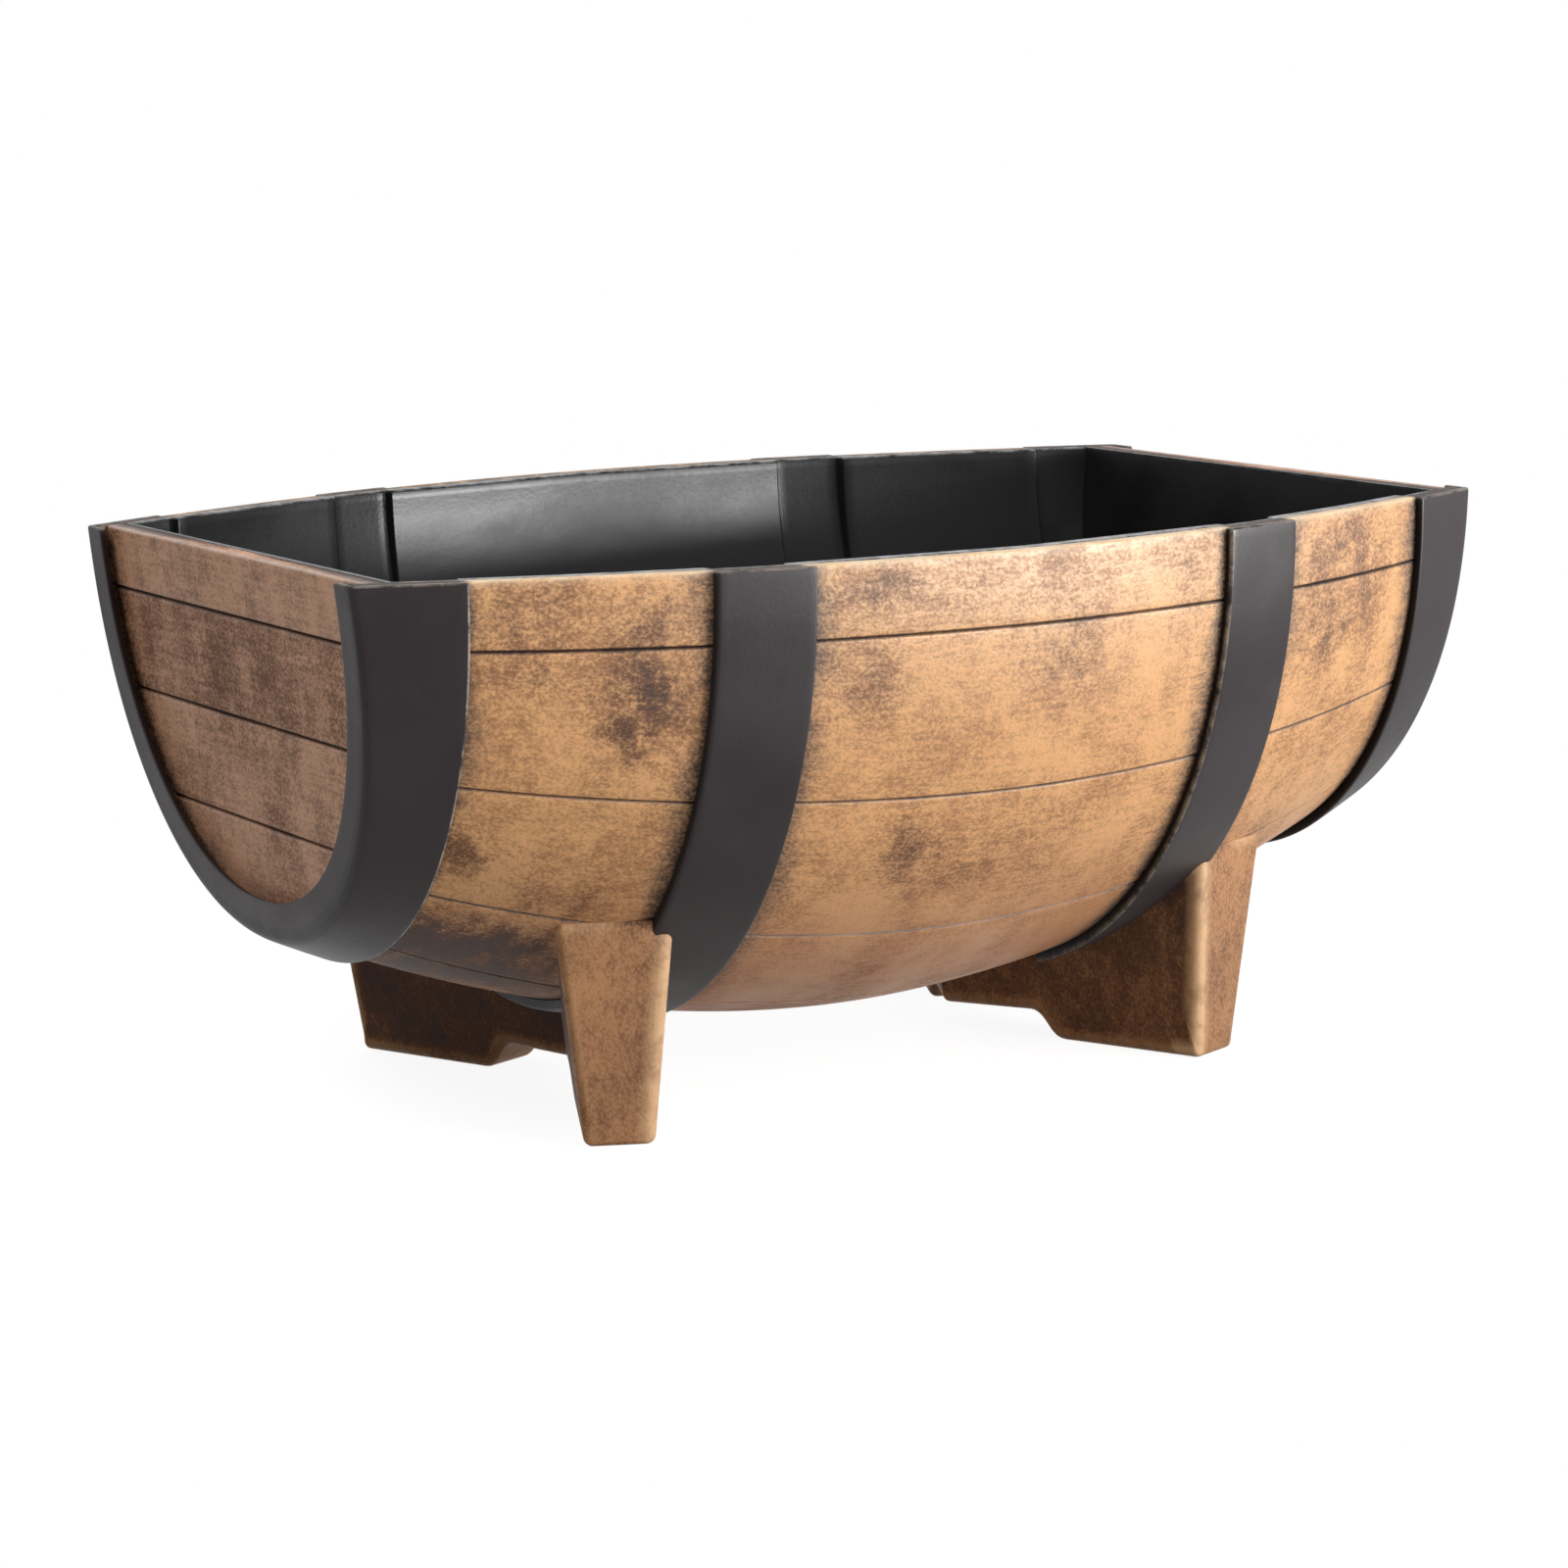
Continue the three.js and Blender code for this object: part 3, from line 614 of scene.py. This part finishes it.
def board_rings(top, bottom, shade):
    """Drop below the rim and depth into the board from the outline; across = share of the half width at that
    drop, which is half width * (1 - (drop / depth) ** power) ** (1 / power)."""
    outline = box_outline((top, 0), (bottom, HEAD_THICKNESS), 1.5, 0.8, 3.0)
    drop, deep = outline[:, 0], outline[:, 1]
    x = HALF_LENGTH - HEAD_SETBACK - deep - END_LEAN * drop
    half_width, depth, power = section_at(x)
    filled = np.clip(1 - (drop / (depth - HEAD_INSET)) ** power, 0, 1) ** (1 / power)
    reach = (half_width - HEAD_INSET) * filled
    share = np.sin(np.linspace(-math.pi / 2, math.pi / 2, 91))[:, None]
    across = share * reach
    height = np.broadcast_to(RIM_HEIGHT - drop, across.shape)
    rings = np.stack([np.broadcast_to(x, across.shape), across, height], axis=-1)
    from_top = drop - top
    # The top board's top face is pale at its outer edge, wear and a painted highlight, and black further in: painted
    # shade.
    top_face = 0.0 if top else np.clip(1 - from_top / 1.5, 0, 1)
    # Painted shade darkens each board along the hoop's flange.
    off_flange = np.minimum(reach - np.abs(across), depth - drop) - FLANGE_COVER
    values = {
        "edge": np.minimum(from_top if top else FAR, bottom - drop) * MM,
        "lip": (from_top if top else bottom - drop) * MM,
        "wear_and_highlight": top_face * np.clip((3.2 - deep) / 1.7, 0, 1) * 0.7,
        "shade": top_face * np.clip((deep - 1.5) / 1.5, 0, 1) * 3.0
        + shade + np.clip(1 - off_flange / FLANGE_SHADE_REACH, 0, 1) * 0.45,
    }
    return rings, {name: np.broadcast_to(value, across.shape) for name, value in values.items()}


board_ends = HEAD_SEAMS[1:] + [HEAD_BOTTOM]
for level, top, bottom, shade in zip(BOARD_NAMES, HEAD_SEAMS, board_ends, BOARD_SHADES):
    last = level == "bottom"
    rings, fields = board_rings(top + (SEAM_GAP / 2 if top else 0), bottom - (0 if last else SEAM_GAP / 2), shade)
    for side, sign in (("right", 1), ("left", -1)):
        points, faces = skin(rings * [sign, 1, 1])
        name = f"{side}_head_board_{level}"
        welded(make_piece(f"{name}_shaped", points, faces, head_paint, [name], fields))
print("head boards down to", HEAD_BOTTOM, "mm below the rim")

# %% [markdown]
# ## Hoops
# The middle hoops are flat bands. The end hoops also turn in over the ends of the staves, with a soft crease
# between band and flange, and the band narrows towards the keel because the end leans. Both are an outline
# carried round the hull from rim to rim; near the rim the outline is drawn in a little, which rounds that edge.

# %% Four half hoops
HOOP_THICKNESS = 6.0
FIT_GAP = 0.3
CUT_ROUND = 1.0
FLANGE_DEPTH, FLANGE_THICKNESS = 14.5, 4.0
CREASE_START, CREASE_STOP = 6.0, 12.0  # the hoop's edges keep their width here, and the band between stretches


def rounded_run(count, radius):
    """Running drop below the rim and shrink for the rings that round a cut end: quarter-circle steps."""
    swing = np.linspace(0, math.pi / 2, count)
    return radius * (1 - np.cos(swing)), radius * (1 - np.sin(swing))


def hoop_rings(outline_at, place_of):
    """The outline at every angle from the front rim to the rear rim; place_of turns its places into x. The
    masks mark the face's edge towards the middle, the rounded cut ends and the band's sides."""
    drops, shrinks = rounded_run(5, CUT_ROUND)
    start = angle_below_rim(np.array(200.0), drops)
    inner = np.linspace(start[-1], math.pi - start[-1], 200)[1:-1]
    angles = np.concatenate([start, inner, math.pi - start[::-1]])
    steps = np.concatenate([shrinks, np.zeros(len(inner)), shrinks[::-1]])
    rings, inner_side, cut_end, side_face = [], [], [], []
    for angle, shrink in zip(angles, steps):
        outline = outline_at(shrink)
        inset = outline[:, 1]
        rings.append(hull(place_of(outline[:, 0], angle, inset), angle, inset))
        inner_side.append((outline[:, 0] < outline_at(0)[:, 0].min() + 1.3) & (outline[:, 1] < -4.4))
        cut_end.append(np.full(len(outline), shrink > 0))
        side_face.append((outline[:, 1] > -4.6) & (outline[:, 1] < 1.0))
    return np.stack(rings), np.stack(inner_side), np.stack(cut_end), np.stack(side_face)


def middle_outline(shrink):
    near, far = MIDDLE_HOOP
    return box_outline((near, -HOOP_THICKNESS), (far, -FIT_GAP), 1.5, 0.5, 3.0, shrink)


def end_outline(shrink):
    """The band with its flange, drawn as it is at the rim, where the end plane stands at the half length."""
    face, back, top = HALF_LENGTH, HALF_LENGTH - FLANGE_THICKNESS, -HOOP_THICKNESS
    band = [(END_HOOP, top), (face, top)]
    corners = band + [(face, FLANGE_DEPTH), (back, FLANGE_DEPTH), (back, -FIT_GAP), (END_HOOP, -FIT_GAP)]
    return rounded_outline(corners, [1.5, 3.0, 1.2, 0.8, 0.4, 0.5], 3.0, shrink)


def end_place(place, angle, inset):
    """Places near the face move with the leaning end plane, those near the inner edge stay, and the band is
    stretched evenly between."""
    start, stop = END_HOOP + CREASE_START, HALF_LENGTH - CREASE_STOP
    share = np.clip((place - start) / (stop - start), 0, 1)
    return place + share * (end_x(angle, inset) - HALF_LENGTH)


# Wear on the inner edges of the right and left hoops, as the photograph shows it.
for kind, (rings, inner_side, cut_end, side_face), wear in (
    ("middle", hoop_rings(middle_outline, lambda place, angle, inset: place), (0.5, 0.0)),
    ("end", hoop_rings(end_outline, end_place), (0.0, 0.75)),
):
    for side, sign, wear_and_highlight in (("right", 1, wear[0]), ("left", -1, wear[1])):
        points, faces = skin(rings * [sign, 1, 1])
        # Inner edges are worn; the cut ends at the rim are painted pale, wear and a painted highlight, and the band's
        # side faces are painted dark: painted shade.
        fields = {"wear_and_highlight": np.maximum(inner_side * wear_and_highlight, cut_end * 0.35), "shade": side_face * 0.8}
        name = f"{side}_{kind}_hoop"
        make_piece(f"{name}_shaped", points, faces, hoop_paint, [name], fields)
print("end hoop:", rings.shape[:2], "box", rings.reshape(-1, 3).min(0).round(1), rings.reshape(-1, 3).max(0).round(1))

# %% [markdown]
# ## Liner
# The liner is one thin shell: it lies against the staves behind the hoops and steps in between them, so the wall
# inside shows shallow channels with soft edges. It could be a box cut with booleans, but the soft steps would be
# lost. Here it is a stack of U-shaped loops, outer face out and inner face back, which shrink to a point in the
# middle of each end wall's top edge.

# %% The liner's stepped shell
CHANNEL, BAY, WALL = 8.3, 14.3, 3.0
LIP = 4.0
LINER_SETBACK = 20.8
CHANNEL_DRAWN = (126, 165)  # from one bay to the next, narrower than the hoop, as the photograph shows it
END_CHANNEL, SHELL_END = 276, 302
STEP_LENGTH, STEP_ROUND = 1, 1.2


def liner_stations():
    """Place along the hull and inset of the outer face, through every step, with rounded shoulders."""
    near, far = CHANNEL_DRAWN
    line = [(0, BAY), (near, BAY), (near + STEP_LENGTH, CHANNEL), (far - STEP_LENGTH, CHANNEL), (far, BAY)]
    line += [(END_CHANNEL, BAY), (END_CHANNEL + STEP_LENGTH, CHANNEL), (SHELL_END, CHANNEL)]
    right = rounded_outline(line, STEP_ROUND, 6.0, arc_steps=3, closed=False)
    return np.concatenate([right[:0:-1] * [-1, 1], right])


def liner_ring(x, inset, squeeze=1.0):
    """One closed loop: out along the outer face, back along the inner one. Each half runs from the rim by drops
    first, so that the lip and the rounded top edge are true, and then by angles. Squeeze draws the loop
    towards the middle of the rim, for the end walls."""
    arc = np.linspace(angle_below_rim(np.array(x), 16.0), math.pi / 2, 44)
    sides = []
    for drops, insets, back in (
        ([0.0, LIP, LIP + 3, 12.0], np.array([CHANNEL, CHANNEL, inset, inset]), LINER_SETBACK),
        ([0.0, 0.25, 0.75, 1.5, 6.0, 12.0], inset + WALL - np.array([1.5, 0.75, 0.25, 0, 0, 0]), LINER_SETBACK + WALL),
    ):
        angles = np.concatenate([angle_below_rim(np.array(x), np.array(drops)), arc])
        angles = np.concatenate([angles, math.pi - angles[-2::-1]])
        insets = np.concatenate([insets, np.full(len(arc), insets[-1])])
        insets = np.concatenate([insets, insets[-2::-1]])
        points = hull(np.sign(x) * np.minimum(abs(x), end_x(angles, insets, back)), angles, insets)
        if squeeze < 1:
            points[:, 1] *= squeeze
            points[:, 2] = RIM_HEIGHT - (RIM_HEIGHT - points[:, 2]) * squeeze
            points[:, 0] = np.sign(x) * (HALF_LENGTH - back - END_LEAN * (RIM_HEIGHT - points[:, 2]))
        sides.append(points)
    return np.concatenate([sides[0], sides[1][::-1]])


shell = [liner_ring(x, inset) for x, inset in liner_stations()]
squeezes = [1.0, 0.992, 0.975, 0.95, 0.9, 0.8, 0.65, 0.5, 0.35, 0.2, 0.1, 0.04, 0.012, 0.0]
right_wall = [liner_ring(HALF_LENGTH, CHANNEL, squeeze) for squeeze in squeezes]
left_wall = [ring * [-1, 1, 1] for ring in right_wall[::-1]]
rings = np.stack(left_wall + shell + right_wall)
points, faces = skin(rings, closed_ends=False)
# The lip's top is painted pale, wear and a painted highlight: strongly along the sides, hardly at the ends,
# and not at the points where the end walls close.
pale_lip = np.clip((rings[..., 2] - RIM_HEIGHT + 1.0) / 0.8, 0, 1)
pale_lip = pale_lip * np.where(np.abs(rings[..., 0]) > SHELL_END + 1, 0.2, 0.8)
pale_lip[[0, -1]] = 0
liner = make_piece("liner_shaped", points, faces, liner_finish, ["liner"],
                   {"wear_and_highlight": pale_lip, "shade": np.zeros_like(pale_lip)})
welded(liner, 2e-5)
print("liner:", rings.shape[:2], "rings,", len(liner.data.vertices), "points")

# %% [markdown]
# ## Drain holes
# Four holes let water out at the bottom, through the liner and the keel staves. They could be left to a live
# modifier, but then a hidden cutter would stay in the scene. Here each piece is cut once by plain cylinders, the
# result is kept as its mesh, and the cutters are thrown away.

# %% Four holes through the bottom
DRAIN_RADIUS = 6.0
DRAIN_PLACES = [(60, 24), (-60, 24), (60, -24), (-60, -24)]
DRILL_SIDES = 48


def drilled(piece, places, low=15.0, high=60.0):
    """The piece less an upright cylinder at each place, from the low height to the high one."""
    turn = np.linspace(0, 2 * math.pi, DRILL_SIDES, endpoint=False)
    circle = np.stack([np.cos(turn), np.sin(turn)], axis=1) * DRAIN_RADIUS
    parts = []
    for spot in places:
        ends = [np.column_stack([circle + spot, np.full(DRILL_SIDES, level)]) for level in (low, high)]
        parts.append(skin(np.stack(ends)))
    points = np.concatenate([part[0] for part in parts])
    faces = [[k + 2 * DRILL_SIDES * i for k in face] for i, part in enumerate(parts) for face in part[1]]
    mesh = bpy.data.meshes.new("drill")
    mesh.from_pydata((points * MM).tolist(), [], faces)
    drill = bpy.data.objects.new("drill", mesh)
    bpy.context.scene.collection.objects.link(drill)
    cut = piece.modifiers.new("drain holes", "BOOLEAN")
    cut.operation, cut.object = "DIFFERENCE", drill
    kept = bpy.data.meshes.new_from_object(piece.evaluated_get(bpy.context.evaluated_depsgraph_get()))
    piece.modifiers.clear()
    piece.data = kept
    bpy.data.objects.remove(drill)
    return piece


drilled(liner, DRAIN_PLACES)
for side, sign in (("front", -1), ("rear", 1)):
    drilled(bpy.data.objects[f"{side}_keel_stave_shaped"], [place for place in DRAIN_PLACES if place[1] * sign > 0])
print("liner after drilling:", len(liner.data.vertices), "points")

# %% [markdown]
# ## Legs
# A leg is a tapered plate on edge, turned by its splay, with a tail that runs in under the keel, and every edge
# is rounded and worn. It could be the CAD plate with a bevel, but the saddle that fits the hull has many short
# edges. Here the leg is a U-shaped section, carried along the outline of the plate from the tail to the top of
# its outer face: up one side into the hull, round the outline, and up the other side.

# %% Four splayed legs
SPLAY = math.radians(23.7)
ALONG = np.array([math.sin(SPLAY), -math.cos(SPLAY)])
ACROSS = np.array([math.cos(SPLAY), math.sin(SPLAY)])
LEG_OFFSET = 108.0
FOOT_HALF = 18.0
DRAFT = 0.102
# The side view, along the plate and up, in mm.
TAIL_START = (47.4, 13.1)
OGEE = [(95.5, 15.0), (106.5, 15.0), (106.5, 0.0), (117.5, 0.0)]
FOOT_END = 204.5
FACE_SLOPE, FACE_TOP = 0.105, 130.0


def hull_underside(x, y):
    """Height of the hull over the floor: rim height less depth * (1 - |y / half width| ** power) ** (1 / power).
    Under a middle hoop it is the hoop's face."""
    half_width, depth, power = section_at(x)
    near, far = MIDDLE_HOOP
    on_hoop = (np.abs(x) > near - FIT_GAP) & (np.abs(x) < far + FIT_GAP)
    proud = np.where(on_hoop, HOOP_THICKNESS - 1.0, -0.6)
    filled = np.clip(1 - np.abs(y / (half_width + proud)) ** power, 0, 1)
    return RIM_HEIGHT - (depth + proud) * filled ** (1 / power)


def leg_outline():
    """Under the tail, down the ogee, along the foot and up the outer face. The ogee is a cubic Bezier curve: its
    four points in the shares (1 - t)^3, 3 t (1 - t)^2, 3 t^2 (1 - t) and t^3."""
    t = np.linspace(0, 1, 13)[:, None]
    start, one, two, stop = np.array(OGEE)
    ogee = start * (1 - t) ** 3 + 3 * one * t * (1 - t) ** 2 + 3 * two * t**2 * (1 - t) + stop * t**3
    tail = np.linspace(TAIL_START, start, 20)[:-1]
    face_top = (FOOT_END + FACE_SLOPE * FACE_TOP, FACE_TOP)
    foot = rounded_outline([stop, (FOOT_END, 0.0), face_top], 3.0, 3.0, closed=False)
    return np.concatenate([tail, ogee[:-1], foot])


leg_line = leg_outline()
print("leg outline:", len(leg_line), "points")

# %% The leg's section at each point of its outline
LEG_ROUND = 4.5
SIDE_POINTS, ROUND_POINTS, FACE_POINTS = 24, 7, 15
# How far the pale inner edge reaches: wear and a painted highlight.
PALE_EDGE_REACH = 6.5
AIM_HEIGHT = 160.0
# Where along the plate a side line aims, for where it starts on the outline; the face counts its height too.
AIM_FROM = [47, 95.5, 117.5, 204.5, 348]
AIM_TO = [47, 95.5, 104, 150, 216]
FACE_START = 190
SHOULDER = 6.0


def leg_surface(line):
    """The plate as rings, and how far each point is from the pale inner edge, painted as wear and a painted
    highlight, from any edge and into a side. A side line runs from the outline towards a point high in the hull,
    and stops once it is inside the hull. The points it aims at move along with the outline, so no two side lines
    cross."""
    aim = np.interp(line[:, 0] + line[:, 1] * (line[:, 0] > FACE_START), AIM_FROM, AIM_TO)
    inwards = np.stack([aim, np.full(len(line), AIM_HEIGHT)], axis=1) - line
    inwards /= np.linalg.norm(inwards, axis=1, keepdims=True)
    tangents = np.gradient(line, axis=0)
    tangents /= np.linalg.norm(tangents, axis=1, keepdims=True)
    slants = np.abs(inwards[:, 0] * tangents[:, 1] - inwards[:, 1] * tangents[:, 0])
    swing = np.linspace(0, math.pi / 2, ROUND_POINTS)
    turn = LEG_ROUND * (1 - np.cos(swing[::-1]))
    off = np.concatenate([np.zeros(SIDE_POINTS - 1), LEG_ROUND * (1 - np.sin(swing[::-1]))])
    steps = np.linspace(0, 190, 381)
    rings, from_pale_edge, from_edge, into_side = [], [], [], []
    for start, inward, slant in zip(line, inwards, slants):
        sides, depths = [], []
        first = LEG_ROUND / slant
        for sign in (1, -1):
            spot = start + steps[:, None] * inward
            half = FOOT_HALF + DRAFT * spot[:, 1]
            xy = ACROSS * (LEG_OFFSET + sign * half)[:, None] + ALONG * spot[:, :1]
            inside = spot[:, 1] > hull_underside(xy[:, 0], xy[:, 1]) + 1.5
            reach = steps[np.argmax(inside)] if inside.any() else 0.0
            run = np.concatenate([np.linspace(max(reach, first + 0.5), first, SIDE_POINTS)[:-1], turn / slant])
            spot = start + run[:, None] * inward
            side = np.stack([spot[:, 0], sign * (FOOT_HALF + DRAFT * spot[:, 1] - off), spot[:, 1]], axis=1)
            sides.append(side[::sign])
            depths.append((run * slant - LEG_ROUND)[::sign])
        middle = np.linspace(sides[0][-1], sides[1][0], FACE_POINTS + 2)[1:-1]
        rings.append(np.concatenate([sides[0], middle, sides[1]]))
        to_inner = middle[:, 1] - sides[1][0, 1]
        to_outer = sides[0][-1, 1] - middle[:, 1]
        beside = [np.clip(depth, 0, None) for depth in depths]
        from_pale_edge.append(np.concatenate([np.full(len(depths[0]), FAR), to_inner, beside[1]]))
        from_edge.append(np.concatenate([beside[0], np.minimum(to_inner, to_outer), beside[1]]))
        into_side.append(np.concatenate([depths[0], np.zeros(FACE_POINTS), depths[1]]))
    return (np.stack(part) for part in (rings, from_pale_edge, from_edge, into_side))


plate, from_pale_edge, from_edge, into_side = leg_surface(leg_line)
# The two legs of a pair meet in a mitre on the middle line, so the tail's first stretch slides to it.
mitre = (math.sin(SPLAY) * (LEG_OFFSET + plate[..., 1]) + 0.15) / math.cos(SPLAY)
tail_from, tail_to = TAIL_START[0], OGEE[0][0]
fade = 1 - np.clip((plate[..., 0] - tail_from) / (tail_to - tail_from), 0, 1)
plate_along = plate[..., 0] + (mitre - tail_from) * fade
xy = ACROSS * (LEG_OFFSET + plate[..., 1])[..., None] + ALONG * plate_along[..., None]
# Where the outer face comes up to the hull it turns in over a soft shoulder.
on_face = plate[..., 0] > FACE_START
room = hull_underside(xy[..., 0], xy[..., 1]) - plate[..., 2]
into_shoulder = np.where(on_face, np.clip(SHOULDER - room, 0, SHOULDER), 0)
pull = SHOULDER - np.sqrt(SHOULDER**2 - into_shoulder**2)
xy = xy - ALONG * pull[..., None]
# Inside the hull no point stands more than a little above the underside, so nothing comes through the staves.
height = np.minimum(plate[..., 2], hull_underside(xy[..., 0], xy[..., 1]) + 2.0)
leg_rings_front_right = np.concatenate([xy, height[..., None]], axis=-1)
# The outer face is rubbed pale where it meets the hull on the leg's outer half, and dark on its inner half:
# soot and painted shade under the hull. The sides are painted dark, the outer sides more: unrubbed paint and
# painted shade under the hull.
near_hull = np.clip(1 - room / 9, 0, 1)
inner_half = np.clip((6 - plate[..., 1]) / 12, 0, 1)
leg_fields = {
    "edge": np.full(room.shape, FAR * MM),
    "lip": (from_edge + 1.0) * MM,
    "wear_and_highlight": on_face * (np.clip(1 - from_pale_edge / PALE_EDGE_REACH, 0, 1) * 0.75 + near_hull * (1 - inner_half) * 0.6),
    "shade": np.clip(into_side / 5, 0, 1) * np.where(plate[..., 1] > 0, 1.25, 0.72) + 0.05
    + on_face * near_hull * inner_half * 0.9,
}

for corner, mirror in (
    ("front_right", [1, 1, 1]), ("front_left", [-1, 1, 1]), ("rear_right", [1, -1, 1]), ("rear_left", [-1, -1, 1]),
):
    points, faces = skin(leg_rings_front_right * mirror)
    name = f"{corner}_leg"
    make_piece(f"{name}_shaped", points, faces, leg_paint, [name], leg_fields)
print("leg:", plate.shape[:2], "box", points.min(0).round(1), points.max(0).round(1))

# %% [markdown]
# ## Room, light and camera
# The photograph is a studio shot on white. A floor with a lit colour would grey the background, so the floor
# shows white to the camera and still takes the planter's shadow. Large soft lamps give the broad sheen on the
# hoops and the liner, and the camera stands where the photograph was taken from.

# %% Floor and surroundings
def plain_sheet(name, size, height):
    """A flat square on the floor."""
    corners = [(x * size / 2, y * size / 2, height) for x, y in ((-1, -1), (1, -1), (1, 1), (-1, 1))]
    mesh = bpy.data.meshes.new(name)
    mesh.from_pydata(corners, [], [(0, 1, 2, 3)])
    sheet = bpy.data.objects.new(name, mesh)
    bpy.context.scene.collection.objects.link(sheet)
    return sheet


def background_rays(tree):
    """1 for every ray that shows the background: straight to the camera, mirrored or through glass."""
    outputs = tree.nodes.new("ShaderNodeLightPath").outputs
    kinds = ("Is Camera Ray", "Is Glossy Ray", "Is Transmission Ray")
    camera, glossy, through = (Pattern(tree, outputs[kind]) for kind in kinds)
    return camera.math("MAXIMUM", camera.math("MAXIMUM", camera, glossy), through)


def cleared_tree(owner):
    """The owner's node tree, emptied."""
    owner.use_nodes = True
    owner.node_tree.nodes.clear()
    return owner.node_tree


def put_out(tree, kind, surface):
    """Links the surface to a new output node."""
    out = tree.nodes.new(kind)
    tree.links.new(surface.output, out.inputs["Surface"])


WHITE = (1, 1, 1, 1)
FLOOR_GREY = (0.25, 0.25, 0.25, 1)
FLOOR_GLOW = 0.91
SHADOW_FADE = (0.30, 0.72)
ROOM_LIGHT = 0.12

floor = plain_sheet("floor", 60.0, -0.0005)
floor_white = bpy.data.materials.new("floor_white")
tree = cleared_tree(floor_white)
rays = background_rays(tree)
spot = Pattern(tree, tree.nodes.new("ShaderNodeTexCoord").outputs["Object"])
away = spot.node("ShaderNodeVectorMath", {"operation": "LENGTH"}, {0: spot}, "Value").ramp(*SHADOW_FADE)
lit = rays.node("ShaderNodeBsdfDiffuse", {}, {"Color": FLOOR_GREY})
glow = rays.node("ShaderNodeEmission", {}, {"Color": WHITE, "Strength": FLOOR_GLOW})
shaded = rays.node("ShaderNodeAddShader", {}, {0: lit, 1: glow})
white = rays.node("ShaderNodeEmission", {}, {"Color": WHITE, "Strength": 1.0})
seen = rays.node("ShaderNodeMixShader", {}, {0: away, 1: shaded, 2: white})
put_out(tree, "ShaderNodeOutputMaterial", rays.node("ShaderNodeMixShader", {}, {0: rays, 1: lit, 2: seen}))
floor.data.materials.append(floor_white)

world = bpy.data.worlds.new("studio")
bpy.context.scene.world = world
tree = cleared_tree(world)
rays = background_rays(tree)
room_light = rays.node("ShaderNodeBackground", {}, {"Color": WHITE, "Strength": ROOM_LIGHT})
white = rays.node("ShaderNodeBackground", {}, {"Color": WHITE, "Strength": 1.0})
put_out(tree, "ShaderNodeOutputWorld", rays.node("ShaderNodeMixShader", {}, {0: rays, 1: room_light, 2: white}))
print("floor:", floor.name, "world:", world.name)

# %% Lamps
def lamp(name, place, aim, size, power):
    """A rectangular area lamp, with its place, aim and size in metres and its power in watts."""
    data = bpy.data.lights.new(name, "AREA")
    data.shape = "RECTANGLE"
    data.size, data.size_y = size
    data.energy = power
    made = bpy.data.objects.new(name, data)
    made.location = place
    made.rotation_euler = (Vector(aim) - Vector(place)).to_track_quat("-Z", "Y").to_euler()
    bpy.context.scene.collection.objects.link(made)
    return made


# The key and the rear lamp light the paint and leave no mirror image. The card does the opposite: it is only
# there to be mirrored in the liner's wall and the hoops, as the soft sheen that the photograph shows.
key = lamp("key", (1.40, -2.0, 0.72), (0.0, 0.0, 0.15), (2.2, 1.4), 50)
key.visible_glossy = False
lamp("front", (0.6, -2.2, 0.6), (0.0, 0.0, 0.2), (1.7, 0.6), 14)
lamp("top", (0.2, -0.3, 2.4), (0.0, 0.0, 0.1), (1.8, 1.2), 14)
lamp("side", (-1.8, -0.7, 1.9), (0.0, 0.0, 0.2), (1.4, 1.2), 22)
rear = lamp("rear", (0.5, 2.3, 1.3), (0.0, 0.0, 0.15), (2.0, 1.4), 20)
rear.visible_glossy = False
card = lamp("card", (1.20, -2.0, 0.41), (0.0, 0.25, 0.28), (1.25, 0.22), 235)
card.visible_diffuse = False
print("lamps:", [light.name for light in bpy.data.lights])

# %% Camera
# All of it was solved from points measured on the photograph, whose frame is 1600 pixels wide.
AZIMUTH, ELEVATION, ROLL = map(math.radians, (28.92, 9.47, -1.48))
DISTANCE = 2.48298
TARGET = (-0.00195, 0.0, 0.14735)
FOCAL_PIXELS, FRAME_PIXELS, SENSOR = 4651.54, 1600, 36.0

back = Vector((
    -math.sin(AZIMUTH) * math.cos(ELEVATION), -math.cos(AZIMUTH) * math.cos(ELEVATION), math.sin(ELEVATION),
))
right = (-back).cross(Vector((0, 0, 1))).normalized()
up = right.cross(-back)
rolled_right = right * math.cos(ROLL) + up * math.sin(ROLL)
rolled_up = up * math.cos(ROLL) - right * math.sin(ROLL)
turned = Matrix((rolled_right, rolled_up, back)).transposed().to_4x4()
camera_data = bpy.data.cameras.new("camera")
camera_data.sensor_width = SENSOR
camera_data.lens = FOCAL_PIXELS / FRAME_PIXELS * SENSOR
camera = bpy.data.objects.new("camera", camera_data)
bpy.context.scene.collection.objects.link(camera)
camera.matrix_world = Matrix.Translation(Vector(TARGET) + back * DISTANCE) @ turned
bpy.context.scene.camera = camera
bpy.context.scene.view_settings.view_transform = "Standard"
print("camera at", [round(v, 3) for v in camera.matrix_world.translation])
